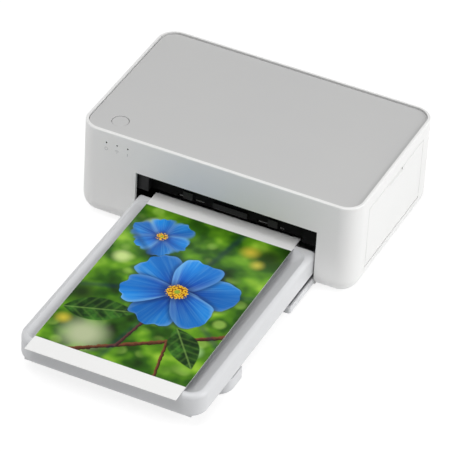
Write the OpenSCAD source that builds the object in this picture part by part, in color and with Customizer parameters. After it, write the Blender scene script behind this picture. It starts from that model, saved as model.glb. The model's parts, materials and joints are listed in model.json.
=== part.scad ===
// Compact photo printer with a slide-in paper cassette, a sliding output tray on
// top of it, and a dye ribbon that loads through a door in the right side.
// Millimetres. +Z is up and +X is to the right of someone who faces the front.
// Inside the modules y = 0 is the front face and y grows towards the back;
// from_front() moves each finished piece so that the origin is under the middle
// of the whole object, where it stands on the table.

/* [Housing] */
// Width of the housing
body_w = 194.6; // [186:0.2:204]
// Depth of the housing, front face to back face
body_d = 125; // [123:0.5:130]
// Height of the housing above the table
body_h = 70.5; // [70:0.5:74]
// Radius of the upright corners
corner_r = 13; // [12.5:0.5:15]
// Rounding along the bottom edge
bottom_r = 12; // [8:0.5:12]
// Wall of the housing
wall = 2.5; // [2:0.1:2.8]
// Width of the pale rim round the top panel
rim_w = 2; // [1.5:0.1:2.5]
// Depth of the top panel's face below the rim
panel_drop = 1.3; // [0.5:0.1:1.3]

/* [Cassette mouth] */
// Sideways offset of the paper path from the middle of the housing
path_x = 7.8; // [6:0.1:9]
// Width of the opening in the front
mouth_w = 127; // [126.8:0.2:129]
// Height of the opening's upper edge
mouth_h = 46; // [44:0.5:47]
// Height of the lower edge of the black wall behind the opening
gate_z = 31.5; // [31:0.25:33]
// Depth of that wall behind the front face
gate_y = 9; // [8.5:0.25:9.5]

/* [Paper] */
// Width of a sheet
sheet_w = 101.6; // [101:0.1:102]
// Length of a sheet with its two tear-off ends
sheet_l = 180; // [178:0.5:180]
// Thickness of a print
sheet_t = 0.3; // [0.2:0.05:0.4]
// Turn of the finished print on the tray, in degrees
print_turn = 0.5; // [0:0.1:1]
// Sideways offset of the finished print from the housing's middle
print_x = 6.2; // [4:0.1:8]
// How far the print reaches in front of the housing
print_reach = 170; // [168:0.5:171]

/* [Output tray] */
// Width of the output tray
tray_w = 125.4; // [124:0.2:125.6]
// How far the tray stands out of the front
tray_reach = 162; // [160:0.5:164]
// Length of the cassette pan
cassette_l = 184; // [183:0.5:185]
// Length of the output tray
tray_l = 165.5; // [164:0.5:166]
// Underside of the tray above the table
tray_z = 10.5; // [10.4:0.1:11]
// Top of the tray's rim above the table
tray_top = 27.5; // [26:0.5:27.5]
// Radius of the tray's front corners
tray_corner = 12; // [9:0.5:14]
// How far the tray slides in to close the cassette
tray_travel = 38; // [30:1:38]

/* [Ribbon door] */
// Middle of the door, behind the front face
door_y = 62.5; // [61:0.5:64]
// Width of the door
door_w = 85; // [80:0.5:86]
// Lower and upper edge of the door's opening
door_z0 = 14.8; // [14.6:0.1:15]
door_z1 = 61; // [60:0.25:62]
// Width of the finger scoop in the door's upper edge
scoop_w = 20; // [14:1:26]

/* [Controls] */
// Power button: place from the middle and behind the front face
button_x = -75.8; // [-78:0.2:-72]
button_y = 16.5; // [15:0.5:19]
// Diameter of the button's cap
button_d = 11; // [10:0.5:13]
// Travel of the button
button_travel = 0.5; // [0.3:0.1:0.5]
// First status light, from the middle, and the step to the next one
light_x = -77.1; // [-80:0.1:-76]
light_step = 7.55; // [6.5:0.05:8]
// Height of the status lights
light_z = 62.1; // [61.9:0.1:62.3]

/* [Drive] */
// Module of the gears
gear_m = 0.5; // [0.5:0.5:0.5]
// Teeth of the gear on the platen roller
platen_teeth = 36; // [36:2:36]
// Teeth of the gear on the capstan roller
capstan_teeth = 18; // [18:2:18]
// Radius of the platen roller
platen_r = 8; // [7:0.5:8]

/* [Hidden] */
$fn = 48;
soft_fn = 32;          // rounds inside a hull
gap = 0.3;             // clearance between neighbouring pieces
fit = 0.05;            // running clearance of shafts
seat = 0.02;           // clearance of a gear or roller fixed on its shaft
cut = 1;               // how far a cutting shape runs past a face

front_y = (print_reach - body_d) / 2;
half_w = body_w / 2;
foot_h = 1.2;          // the housing stands this high on its feet
top_rim = body_h;
panel_t = 2;
panel_top = top_rim - panel_drop;
deck_top = panel_top - panel_t;
deck_t = 2;
deck_under = deck_top - deck_t;
mouth_l = path_x - mouth_w / 2;
mouth_r = path_x + mouth_w / 2;

base_top = 3.2;        // upper face of the base plate
base_t = base_top - foot_h;
base_x = 82;           // half width of the base plate
base_y0 = 15;
base_y1 = 110;
base_lip_y = 4;        // the plate's tongue in the mouth starts here
boss_x = 78;           // screw bosses
boss_y = [21, 104];
screw_head_t = 1.1;
board_posts = [-85, -62];
foot_r = 6;
foot_x = 70;
foot_y = [26, 98];

// Paper path, as [y, z] of each axis behind the front face
paper_z = 30.6;
platen_at = [71, paper_z - platen_r];
capstan_r = 4;
capstan_at = [103, paper_z - capstan_r];
pinch_r = 3;
pinch_at = [capstan_at[0], paper_z + gap + pinch_r];
pickup_r = 7;
pickup_at = [49.5, 10.3 + pickup_r];
exit_r = 3;
exit_at = [gate_y + 4.2, gate_z + 1.3];
path_half = 50;        // half width of the rollers

// Ribbon cartridge
spool_z = 48;
takeup_at = [51, spool_z];
supply_at = [91, spool_z];
case_r = 10.5;
case_wall = 1.2;
cart_half = 59;
takeup_roll_r = 5.5;
supply_roll_r = 8;
core_r = 4;
film_t = 0.2;
film_z = 31.2;
film_half = 52;
bar_r = 1.2;
bar_y = [60.5, 81.5];

// Print head, drawn raised as it stands when nothing is being printed; the head
// itself is laid out as it stands while printing, and lifted by head_lift degrees
pivot_at = [110, 46];
pivot_r = 2;
head_lift = 9;
head_y = platen_at[0];
head_half_d = 5;
head_z = film_z + film_t / 2 + gap;
head_half = 52;
arm_z = 63;
arm_t = 1.2;
tail_x = 45;           // springs act on two tails of the arm
tail_y = 115.5;
tail_z = 48;

// Frames and drive
frame_t = 1;
frame_l = -60;         // outer face of the left frame
frame_r = 75;          // inner face of the right frame
frame_y0 = 14;
frame_y1 = 116;
frame_top = 62;
flange_y = [66, 86];
gear_x = -66;
gear_t = 4;
plate_x = -71;         // outer face of the plate that carries the motors
plate_t = 1;
idler_teeth = 38;
pickup_idler_teeth = 16;
pickup_teeth = 32;
pinion_teeth = 12;
takeup_teeth = 30;

// Cassette
pan_half = 63;
pan_z = 3.6;
pan_floor = 1.6;
pan_top = 10.2;
well_half = 51.5;
well_wall = 4;
well_end = 1.8;
lip_t = 1.5;
lip_top = 8.6;
ledge_reach = 33.2;    // how far the side ledges stand out of the front
foot_len = 23;         // length of the foot at the cassette's front end
pan_y0 = -(tray_reach - tray_travel);
pan_y1 = pan_y0 + cassette_l;
tray_y0 = -tray_reach;
tray_y1 = tray_y0 + tray_l;
tray_half = tray_w / 2;
ridge_half = 53.6;      // ridges of the pan that guide the tray
ridge_w = 1;
ridge_h = 1.5;
ridge_l = 112;
lift_z = 5.4;
lift_t = 0.6;
stack_z = lift_z + lift_t + 0.1;
stack_t = 2.5;
lift_hinge_y = -110;

white = [0.92, 0.92, 0.92];
top_grey = [0.74, 0.74, 0.74];
black = [0.06, 0.06, 0.065];
dark = [0.14, 0.14, 0.15];
steel = [0.68, 0.69, 0.7];
milky = [0.86, 0.86, 0.87];
rubber = [0.1, 0.1, 0.1];
acetal = [0.9, 0.88, 0.82];
board_green = [0.05, 0.3, 0.15];
alloy = [0.8, 0.81, 0.82];
paper = [0.97, 0.97, 0.97];

// ---------------------------------------------------------------- helpers

module from_front() translate([0, front_y, 0]) children();

function arc(c, r, a0, a1, n) =
  [for (i = [0 : n]) c + r * [cos(a0 + (a1 - a0) * i / n), sin(a0 + (a1 - a0) * i / n)]];

// A point that keeps distance ra from a and rb from b
function between(a, ra, b, rb, side) =
  let (
    d = norm(b - a),
    u = (b - a) / d,
    along = (ra * ra - rb * rb + d * d) / (2 * d),
    off = sqrt(ra * ra - along * along)
  )
  a + along * u + side * off * [u[1], -u[0]];

// Direction from a to b, in degrees
function heading(a, b) = atan2(b[1] - a[1], b[0] - a[0]);

// Turn of a gear whose tooth gap meets a tooth of the gear it is driven by
function mesh_turn(from, to, turn, z_from, z_to) =
  heading(from, to) + 180 + 180 / z_to - (turn - heading(from, to)) * z_from / z_to;

function pitch_r(teeth) = gear_m * teeth / 2;

// Place of a point of the print head when the head is lifted off the ribbon
function lifted(p) =
  let (d = p - pivot_at, c = cos(head_lift), s = sin(head_lift))
  pivot_at + [d[0] * c + d[1] * s, d[1] * c - d[0] * s];

// Point where a line from p touches the circle r round c
function touch(p, c, r, side) =
  let (d = norm(p - c), a = heading(c, p) + side * acos(r / d))
  c + r * [cos(a), sin(a)];

// A cylinder along +X that starts at x, with its axis through at = [y, z]
module rod(x, at, r, length)
  translate([x, at[0], at[1]])
    rotate([0, 90, 0])
      cylinder(r = r, h = length);

// A plane outline drawn in [y, z], given a thickness along +X from x
module side_plate(x, t)
  translate([x, 0, 0])
    rotate([90, 0, 90])
      linear_extrude(height = t)
        children();

// Revolved corner of a housing: upright side, rounded foot and eased top
module corner_puck(r, foot, top, z0, z1)
  translate([0, 0, z0])
    rotate_extrude()
      polygon(concat(
        [[0, 0]],
        arc([r - foot, foot], foot, -90, 0, 7),
        arc([r - top, z1 - z0 - top], top, 0, 90, 4),
        [[0, z1 - z0]]
      ));

// Housing-like block: four revolved corners joined
module soft_block(x0, x1, y0, y1, z0, z1, r, foot, top)
  hull()
    for (x = [x0 + r, x1 - r])
      for (y = [y0 + r, y1 - r])
        translate([x, y, 0])
          corner_puck(r, foot, top, z0, z1);

// Plate with exact round corners
module round_plate(x0, x1, y0, y1, z0, t, r)
  translate([0, 0, z0])
    linear_extrude(height = t) {
      translate([x0 + r, y0])
        square([x1 - x0 - 2 * r, y1 - y0]);
      translate([x0, y0 + r])
        square([x1 - x0, y1 - y0 - 2 * r]);
      for (x = [x0 + r, x1 - r])
        for (y = [y0 + r, y1 - r])
          translate([x, y])
            circle(r = r);
    }

// Spur gear in the YZ plane with involute-like teeth and some backlash
module spur(at, teeth, turn, bore) {
  rp = pitch_r(teeth);
  root = rp - 1.25 * gear_m;
  tip = rp + 0.85 * gear_m;
  pitch = 360 / teeth;
  side_plate(gear_x, gear_t)
    translate(at)
      difference() {
        polygon([
          for (i = [0 : teeth - 1])
            for (p = [[root, -0.34], [rp, -0.22], [tip, -0.1], [tip, 0.1], [rp, 0.22], [root, 0.34]])
              let (a = turn + pitch * (i + p[1]))
              p[0] * [cos(a), sin(a)]
        ]);
        circle(r = bore);
      }
}

// ---------------------------------------------------------------- housing

module mouth_cut()
  translate([mouth_l, -cut, -cut])
    cube([mouth_w, base_y0 + cut, mouth_h + cut]);

module boss(x, y) {
  translate([x, y, base_top + 0.1])
    difference() {
      union() {
        cylinder(r = 3.4, h = 10);
        translate([x > 0 ? 0 : -(half_w - wall / 2 - boss_x), -0.8, 5])
          cube([half_w - wall / 2 - boss_x, 1.6, 5]);
      }
      translate([0, 0, -cut])
        cylinder(r = 1.3, h = 9 + cut);
    }
}

module outer_shell() {
  slot_half = 54;
  vent_x = path_x;
  color(white)
    from_front()
      difference() {
        union() {
          difference() {
            soft_block(-half_w, half_w, 0, body_d, foot_h, top_rim, corner_r, bottom_r, 1);
            soft_block(-half_w + wall, half_w - wall, wall, body_d - wall,
              foot_h + 1.4, deck_under, corner_r - wall, bottom_r - wall, 0.5);
            // seat of the top panel
            round_plate(-half_w + rim_w, half_w - rim_w, rim_w, body_d - rim_w,
              deck_top, top_rim - deck_top + cut, corner_r - rim_w);
            // opening that the base plate closes
            round_plate(-base_x - gap, base_x + gap, base_y0 - gap, base_y1 + gap,
              -cut, base_top + cut + 0.4, 6);
          }
          for (x = [-boss_x, boss_x])
            for (y = boss_y)
              boss(x, y);
          // posts that carry the button board
          for (x = board_posts)
            translate([x, 22, 61.2])
              cylinder(r = 2, h = deck_under - 61.2 + 0.5);
          // ribs that stiffen the deck
          for (x = [-30, 10, 50])
            translate([x, wall - 0.5, deck_under - 3])
              cube([1.4, 26, 3.5]);
        }
        mouth_cut();
        // door opening in the right side
        translate([half_w - wall - cut, door_y - door_w / 2, door_z0])
          cube([wall + 2 * cut, door_w, door_z1 - door_z0]);
        // bores that carry the door's hinge pin
        translate([half_w - 1.25, door_y - door_w / 2 - 4, door_z0 + 1.5])
          rotate([-90, 0, 0])
            cylinder(r = 0.72, h = door_w + 8);
        // rear slot that the paper runs out of and back in while it is printed
        translate([path_x - slot_half, body_d - wall - cut, 27.6])
          cube([2 * slot_half, wall + 2 * cut, 9]);
        // fan grille
        for (i = [0 : 6])
          translate([vent_x - 13, body_d - wall - cut, 40.5 + i * 3.6])
            cube([26, wall + 2 * cut, 1.8]);
        // socket opening
        translate([-84.5, body_d - wall - cut, 16.5])
          rotate([-90, 0, 0])
            cylinder(r = 4.4, h = wall + 2 * cut);
        // button stem
        translate([button_x, button_y, deck_under - cut])
          cylinder(r = 3.2, h = deck_t + 2 * cut);
        // light holes
        for (i = [0 : 2])
          translate([light_x + i * light_step, -cut, light_z])
            rotate([-90, 0, 0])
              cylinder(r = 0.62, h = wall + 2 * cut);
      }
}

module top_panel()
  color(top_grey)
    from_front()
      difference() {
        round_plate(-half_w + rim_w + 0.2, half_w - rim_w - 0.2, rim_w + 0.2, body_d - rim_w - 0.2,
          deck_top, panel_t, corner_r - rim_w - 0.2);
        translate([button_x, button_y, deck_top - cut])
          cylinder(r = button_d / 2 + 0.3, h = panel_t + 2 * cut);
      }

module base_plate()
  color(white)
    from_front()
      difference() {
        union() {
          round_plate(-base_x, base_x, base_y0, base_y1, foot_h, base_t, 6);
          // tongue under the cassette
          translate([mouth_l + gap, base_lip_y, 2.2])
            cube([mouth_w - 2 * gap, base_y0 - base_lip_y + 1, base_top - 2.2]);
          // stiffening ribs beside and behind the cassette
          for (y = [64 : 12 : 100])
            translate([-52, y, base_top - 0.5])
              cube([120, 1.2, 3.5]);
        }
        for (x = [-foot_x, foot_x])
          for (y = foot_y)
            translate([x, y, -cut])
              cylinder(r = foot_r + 0.05, h = foot_h + cut + 0.8);
        for (x = [-boss_x, boss_x])
          for (y = boss_y) {
            translate([x, y, -cut])
              cylinder(r = 1.8, h = base_top + 2 * cut);
            translate([x, y, -cut])
              cylinder(r = 3, h = cut + foot_h + 0.1 + screw_head_t);
          }
      }

module rubber_feet()
  color(rubber)
    from_front()
      for (x = [-foot_x, foot_x])
        for (y = foot_y)
          translate([x, y, 0])
            cylinder(r = foot_r, h = foot_h + 0.8);

module case_screws()
  color(steel)
    from_front()
      for (x = [-boss_x, boss_x])
        for (y = boss_y)
          translate([x, y, foot_h + 0.1])
            difference() {
              union() {
                cylinder(r = 2.8, h = screw_head_t);
                cylinder(r = 1.25, h = 9);
              }
              translate([0, 0, -cut])
                for (a = [0, 90])
                  rotate(a)
                    translate([-1.6, -0.3, 0])
                      cube([3.2, 0.6, cut + 0.6]);
            }

// ---------------------------------------------------------------- controls

module power_button() {
  sink = 0.3;            // the cap lies this deep in the panel
  stem_z = 64.9;
  color(top_grey)
    from_front()
      translate([button_x, button_y, 0]) {
        translate([0, 0, deck_top + 0.6])
          cylinder(r = button_d / 2, h = panel_top - sink - deck_top - 0.6);
        translate([0, 0, stem_z])
          cylinder(r = 2.6, h = deck_top - stem_z + 0.7);
      }
}

module button_board()
  color(board_green)
    from_front() {
      difference() {
        translate([-88, 4, 59.6])
          cube([30, 22, 1.6]);
        for (x = board_posts)
          translate([x, 22, 58])
            cylinder(r = 1, h = 5);
      }
      // push switch under the button
      translate([button_x - 3, button_y - 3, 61.2])
        cube([6, 6, 2.2]);
      translate([button_x, button_y, 63.4])
        cylinder(r = 1.6, h = 0.8);
      // three lamps behind the light pipes
      for (i = [0 : 2])
        translate([light_x + i * light_step - 1.2, 6, 61.2])
          cube([2.4, 1.6, 2]);
    }

module light_pipes()
  color([0.95, 0.95, 0.98])
    from_front()
      for (i = [0 : 2])
        translate([light_x + i * light_step, 0.2, light_z]) {
          rotate([-90, 0, 0])
            cylinder(r = 0.55, h = 5.5);
          translate([-1.4, wall + 0.2, -0.8])
            cube([2.8, 2.6, 2.2]);
        }

// ---------------------------------------------------------------- mouth

bay_l = mouth_l - 0.5;
bay_r = mouth_r + 0.5;

// Bay that the cassette slides into: two side walls under a lintel
module mouth_liner() {
  side_t = 2;
  side_y1 = 60.8;
  color(black)
    from_front()
      difference() {
        union() {
          for (x = [bay_l - side_t, bay_r])
            side_plate(x, side_t)
              polygon([
                [wall + gap, 13], [13, base_top + 0.2], [side_y1, base_top + 0.2], [side_y1, 30],
                [38, 30], [38, mouth_h + 2.2], [wall + gap, mouth_h + 2.2]
              ]);
          translate([bay_l - 0.5, wall + gap, mouth_h + 0.2])
            cube([mouth_w + 2, 8, 2]);
        }
        rod(bay_l - 3, pickup_at, 2.6, mouth_w + 7);
      }
}

// Wall across the bay above the print, with the housings of the exit rollers
module gate_wall() {
  gate_l = bay_l + seat;
  gate_r = bay_r - seat;
  top = mouth_h + 0.2 - seat;
  block_half = 12;
  outer_block = [26.5, 33.2];
  windows = [[-25.4, 6.4], [19, 6.4], [-37, 3], [34, 3]];
  color(black)
    from_front()
      difference() {
        union() {
          translate([gate_l, gate_y, gate_z])
            cube([gate_r - gate_l, 2, top - gate_z]);
          // cheeks beside the print
          translate([gate_l, wall + 1.5, gate_z])
            cube([8, 6, top - gate_z]);
          translate([gate_r - 11.5, wall + 1.5, gate_z])
            cube([11.5, 6, top - gate_z]);
          // roller housings
          translate([path_x - block_half, gate_y - 1.2, gate_z + 0.3])
            cube([2 * block_half, 2, 4.4]);
          for (s = [-1, 1])
            translate([path_x + s * (outer_block[0] + outer_block[1]) / 2, gate_y - 0.2, gate_z + 3.4])
              cube([outer_block[1] - outer_block[0], 2, 5.4], center = true);
          // lugs that carry the exit rollers' shaft
          for (x = [-44, 42])
            translate([path_x + x, gate_y + 1, gate_z])
              cube([2, 6.4, 4.4]);
        }
        // windows for the rollers, and pockets behind them in the wall
        for (w = windows)
          translate([path_x + w[0] - 0.4, gate_y - 2, gate_z + 0.6])
            cube([w[1] + 0.8, 4, 1.4]);
        for (w = windows)
          translate([path_x + w[0] - 0.4, gate_y + 0.8, gate_z - cut])
            cube([w[1] + 0.8, 3, cut + 5]);
        rod(path_x - 46, exit_at, 1.05, 92);
      }
}

module exit_rollers()
  color(acetal)
    from_front() {
      rod(path_x - 45, exit_at, 1, 90);
      for (x = [-25.4, 19])
        rod(path_x + x, exit_at, exit_r, 6.4);
      for (x = [-37, 34])
        rod(path_x + x, exit_at, exit_r, 3);
    }

// Shelf that the finished print slides out over, with a ramp up to the rollers
module exit_guide() {
  low = tray_top + 0.8;  // the tray and a print on it pass below
  t = 0.8;
  rib_h = 0.4;
  ramp = [[55.6, low], [62.4, 30]];
  half = 53.5;           // the ramp fits between the cartridge's ends
  reach = 64;            // the bay's side walls
  color(black)
    from_front() {
      translate([path_x - reach, 12, low])
        cube([2 * reach, ramp[0][0] - 12, t]);
      side_plate(path_x - half, 2 * half)
        polygon([
          ramp[0] + [-0.1, 0], ramp[0] + [-0.1, t], ramp[1], ramp[1] + [0, -t], ramp[0] + [1.4, 0]
        ]);
      // ribs that the print glides on
      for (i = [-3 : 3])
        side_plate(path_x + i * 14 - 0.4, 0.8)
          polygon([
            [13, low + t - 0.1], [14.5, low + t + rib_h], [ramp[0][0], low + t + rib_h],
            ramp[1] + [-0.4, 0.2], ramp[1] + [-0.4, -0.6], [ramp[0][0], low + t - 0.1]
          ]);
    }
}

// Flat guide between the rollers and the rear slot
module rear_guide() {
  half = 53.5;
  color(black)
    from_front()
      difference() {
        union() {
          for (y = [[80.5, 97.5], [108.5, 124.6]])
            translate([path_x - half, y[0], paper_z - 1.9])
              cube([2 * half, y[1] - y[0], 1.5]);
          for (x = [frame_l + frame_t, path_x + half - 1])
            translate([x, 81, paper_z - 1.9])
              cube([frame_r - path_x - half + 1, 40, 1.5]);
          // upper lip of the rear slot
          translate([path_x - half, 117, 35.2])
            cube([2 * half, 7.6, 1]);
          for (x = [path_x - half, path_x + half - 1])
            translate([x, 117, paper_z - 1])
              cube([1, 7.6, 6.4]);
        }
        rod(frame_l - 1, capstan_at, 2.4, 140);
      }
}

// ---------------------------------------------------------------- frames

module frame_outline()
  difference() {
    union() {
      translate([frame_y0, 5])
        square([frame_y1 - frame_y0, 42]);
      polygon([[frame_y0 + 14, 46], [34, frame_top], [frame_y1, frame_top], [frame_y1, 46]]);
    }
    for (y = [24, 62, 90])
      translate([y, 9])
        circle(r = 2.4);
  }

module frame_bores() {
  translate(platen_at)
    circle(r = 2.5 + fit);
  translate(capstan_at)
    circle(r = 2 + fit);
  translate(pinch_at)
    circle(r = 1.5 + fit);
  translate(pickup_at)
    circle(r = 2 + fit);
  translate(pivot_at)
    circle(r = pivot_r + seat);
}

module frame_foot(x)
  for (y = flange_y)
    difference() {
      translate([x, y, base_top])
        cube([7, 10, 1]);
      translate([x + 3.5, y + 5, base_top - cut])
        cylinder(r = 1.2, h = 3);
    }

module left_frame()
  color(steel)
    from_front() {
      side_plate(frame_l, frame_t)
        difference() {
          union() {
            frame_outline();
            for (y = flange_y)
              translate([y, base_top])
                square([10, 3]);
          }
          frame_bores();
          translate(takeup_at)
            circle(r = 4 + fit);
          translate(transfer_at)
            circle(r = 1.5);
          translate(pickup_idler_at)
            circle(r = 1.5);
          translate(supply_at)
            circle(r = 4);
          // lightening holes
          translate([30, 32])
            circle(r = 8);
          translate([100, 56.5])
            circle(r = 3.5);
        }
      frame_foot(frame_l - 6);
    }

module right_frame()
  color(steel)
    from_front() {
      side_plate(frame_r, frame_t)
        difference() {
          union() {
            frame_outline();
            for (y = flange_y)
              translate([y, base_top])
                square([10, 3]);
          }
          frame_bores();
          // room for the housing's screw bosses
          for (y = boss_y)
            translate([y - 4.5, 0])
              square([9, 14.2]);
          // window that the ribbon cartridge passes through
          translate([38.5, 32.2])
            square([64.5, 27.2]);
          translate([30, 32])
            circle(r = 6);
        }
      frame_foot(frame_r);
    }

module gear_plate()
  color(steel)
    from_front() {
      side_plate(plate_x, plate_t)
        difference() {
          union() {
            translate([36, 8])
              square([76, 26]);
            polygon([[36, 30], [28, 44], [28, 58], [62, 58], [84, 44], [92, 30]]);
          }
          translate(motor_at)
            circle(r = 3.2);
          translate(ribbon_motor_at)
            circle(r = 2.7);
          for (p = [transfer_at, pickup_idler_at])
            translate(p)
              circle(r = 1.5);
          for (p = [platen_at, capstan_at, pickup_at, takeup_at])
            translate(p)
              circle(r = 2.6);
        }
      // spacers to the left frame
      for (p = [[34, 36], [88, 40], [108, 12], [68, 10]])
        rod(plate_x + plate_t, p, 2, frame_l - plate_x - plate_t);
    }

module gear_posts()
  color(steel)
    from_front()
      for (p = [transfer_at, pickup_idler_at])
        rod(plate_x, p, 1.5 - seat, frame_l + frame_t - plate_x);

// ---------------------------------------------------------------- gears

transfer_at = between(
  platen_at, pitch_r(platen_teeth) + pitch_r(idler_teeth),
  capstan_at, pitch_r(capstan_teeth) + pitch_r(idler_teeth), 1);
pickup_idler_at = between(
  platen_at, pitch_r(platen_teeth) + pitch_r(pickup_idler_teeth),
  pickup_at, pitch_r(pickup_teeth) + pitch_r(pickup_idler_teeth), -1);
motor_heading = 100;
motor_at = platen_at
  + (pitch_r(platen_teeth) + pitch_r(pinion_teeth)) * [cos(motor_heading), sin(motor_heading)];
ribbon_heading = 165;
ribbon_motor_at = takeup_at
  + (pitch_r(takeup_teeth) + pitch_r(pinion_teeth)) * [cos(ribbon_heading), sin(ribbon_heading)];

transfer_turn = mesh_turn(platen_at, transfer_at, 0, platen_teeth, idler_teeth);
capstan_turn = mesh_turn(transfer_at, capstan_at, transfer_turn, idler_teeth, capstan_teeth);
pickup_idler_turn = mesh_turn(platen_at, pickup_idler_at, 0, platen_teeth, pickup_idler_teeth);
pickup_turn = mesh_turn(pickup_idler_at, pickup_at, pickup_idler_turn,
  pickup_idler_teeth, pickup_teeth);
pinion_turn = mesh_turn(platen_at, motor_at, 0, platen_teeth, pinion_teeth);
ribbon_turn = mesh_turn(takeup_at, ribbon_motor_at, 0, takeup_teeth, pinion_teeth);

module platen_gear()
  color(acetal)
    from_front()
      spur(platen_at, platen_teeth, 0, 2.5 + seat);

module transfer_gear()
  color(acetal)
    from_front()
      spur(transfer_at, idler_teeth, transfer_turn, 1.5 + fit);

module capstan_gear()
  color(acetal)
    from_front()
      spur(capstan_at, capstan_teeth, capstan_turn, 2 + seat);

module pickup_idler()
  color(acetal)
    from_front()
      spur(pickup_idler_at, pickup_idler_teeth, pickup_idler_turn, 1.5 + fit);

module pickup_gear()
  color(acetal)
    from_front()
      spur(pickup_at, pickup_teeth, pickup_turn, 2 + seat);

module motor_can(at, r, length, flat) {
  difference() {
    rod(plate_x - length, at, r, length);
    if (flat > 0)
      for (s = [-1, 1])
        translate([plate_x - length - cut, at[0] - r, s > 0 ? at[1] + flat : at[1] - flat - r])
          cube([length + 2 * cut, 2 * r, r]);
    rod(plate_x - 3, at, 1.6, 3 + cut);
  }
}

module feed_motor()
  color(steel)
    from_front() {
      motor_can(motor_at, 12.4, 19, 0);
      difference() {
        rod(plate_x, motor_at, 3, 1.5);
        rod(plate_x - cut, motor_at, 1.6, 4);
      }
    }

module feed_pinion()
  color([0.8, 0.65, 0.3])
    from_front() {
      spur(motor_at, pinion_teeth, pinion_turn, 0.6);
      rod(plate_x - 2.8, motor_at, 1, 10);
    }

module ribbon_motor()
  color(steel)
    from_front() {
      motor_can(ribbon_motor_at, 10, 19, 7.5);
      difference() {
        rod(plate_x, ribbon_motor_at, 2.5, 1.5);
        rod(plate_x - cut, ribbon_motor_at, 1.6, 4);
      }
    }

module ribbon_pinion()
  color([0.8, 0.65, 0.3])
    from_front() {
      spur(ribbon_motor_at, pinion_teeth, ribbon_turn, 0.6);
      rod(plate_x - 2.8, ribbon_motor_at, 1, 10);
    }

// Gear and splined hub that turn the take-up spool
module takeup_driver()
  color(acetal)
    from_front() {
      spur(takeup_at, takeup_teeth, 0, 2);
      rod(gear_x + gear_t, takeup_at, 4, 6);
      rod(frame_l + frame_t, takeup_at, 3, path_x - cart_half - 0.4 - frame_l - frame_t);
      side_plate(path_x - cart_half - 0.5, 3.5)
        translate(takeup_at)
          for (a = [0, 60, 120])
            rotate(a)
              square([4, 1], center = true);
    }

// ---------------------------------------------------------------- rollers

module platen_shaft()
  color(steel)
    from_front()
      rod(-69, platen_at, 2.5, frame_r + 2.5 + 69);

module platen_roller()
  color(rubber)
    from_front()
      difference() {
        rod(path_x - path_half - 2, platen_at, platen_r, 2 * path_half + 4);
        rod(path_x - path_half - 3, platen_at, 2.5 + seat, 2 * path_half + 6);
      }

module capstan_roller()
  color(steel)
    from_front() {
      rod(path_x - path_half, capstan_at, capstan_r, 2 * path_half);
      rod(-69, capstan_at, 2, frame_r + 2.5 + 69);
    }

module pinch_roller()
  color(dark)
    from_front() {
      for (i = [-1 : 1])
        rod(path_x + i * 34 - 14, pinch_at, pinch_r, 28);
      rod(frame_l - 0.5, pinch_at, 1.5, frame_r - frame_l + 2);
    }

module pickup_shaft()
  color(steel)
    from_front()
      rod(-69, pickup_at, 2, frame_r + 2.5 + 69);

module pickup_roller()
  color(rubber)
    from_front()
      difference() {
        union() {
          rod(path_x - 15, pickup_at, pickup_r, 12);
          rod(path_x + 3, pickup_at, pickup_r, 12);
          rod(path_x - 4, pickup_at, 3.6, 8);
        }
        rod(path_x - 16, pickup_at, 2 + seat, 32);
      }

// ---------------------------------------------------------------- ribbon

// Half-open tube round one spool, open towards the window between the spools
module spool_case(at, open_from, open_to)
  side_plate(path_x - cart_half, 2 * cart_half)
    translate(at)
      difference() {
        circle(r = case_r);
        circle(r = case_r - case_wall);
        polygon(concat([[0, 0]], arc([0, 0], 2 * case_r, open_from, open_to, 6)));
      }

module cartridge_end(x)
  side_plate(x, 2)
    difference() {
      union() {
        translate(takeup_at)
          circle(r = case_r);
        translate(supply_at)
          circle(r = case_r);
        polygon([
          [takeup_at[0], spool_z - case_r], [bar_y[0] - 2, film_z + 0.6],
          [bar_y[1] + 2, film_z + 0.6], [supply_at[0], spool_z - case_r],
          [supply_at[0] - 6, 41], [78, 37.5], [64, 37.5], [takeup_at[0] + 6, 41]
        ]);
      }
      translate(takeup_at)
        circle(r = 2.6 + fit);
      translate(supply_at)
        circle(r = 2.6 + fit);
    }

module ribbon_cartridge()
  color(dark)
    from_front() {
      spool_case(takeup_at, -75, -25);
      spool_case(supply_at, 195, 255);
      for (x = [path_x - cart_half, path_x + cart_half - 2])
        cartridge_end(x);
      for (y = bar_y)
        rod(path_x - cart_half, [y, film_z + film_t / 2 + 0.2 + bar_r], bar_r, 2 * cart_half);
      // grip at the door end
      difference() {
        translate([path_x + cart_half, 66, 33.4])
          cube([6, 10, 3.6]);
        for (i = [0 : 2])
          translate([path_x + cart_half + 1.4 + i * 1.6, 65, 36.4])
            cube([0.7, 12, 2]);
      }
    }

module spool(at, roll_r) {
  half = cart_half - 3;
  difference() {
    union() {
      rod(path_x - half, at, core_r, 2 * half);
      for (x = [path_x - half, path_x + half - 1])
        rod(x, at, case_r - case_wall - 0.5, 1);
      rod(path_x - cart_half - 0.2, at, 2.6, 2 * cart_half + 0.4);
      rod(path_x - film_half, at, roll_r, 2 * film_half);
    }
    // sockets for the driver
    rod(path_x - cart_half - 2, at, 2.2, 5.5);
    rod(path_x + cart_half - 3, at, 1.2, 5);
  }
}

module supply_spool()
  color([0.55, 0.12, 0.35])
    from_front()
      spool(supply_at, supply_roll_r);

module takeup_spool()
  color([0.35, 0.2, 0.5])
    from_front()
      spool(takeup_at, takeup_roll_r);

module film_run(a, b)
  side_plate(path_x - film_half + 0.5, 2 * film_half - 1)
    translate(a)
      rotate(heading(a, b))
        translate([0, -film_t / 2])
          square([norm(b - a), film_t]);

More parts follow.
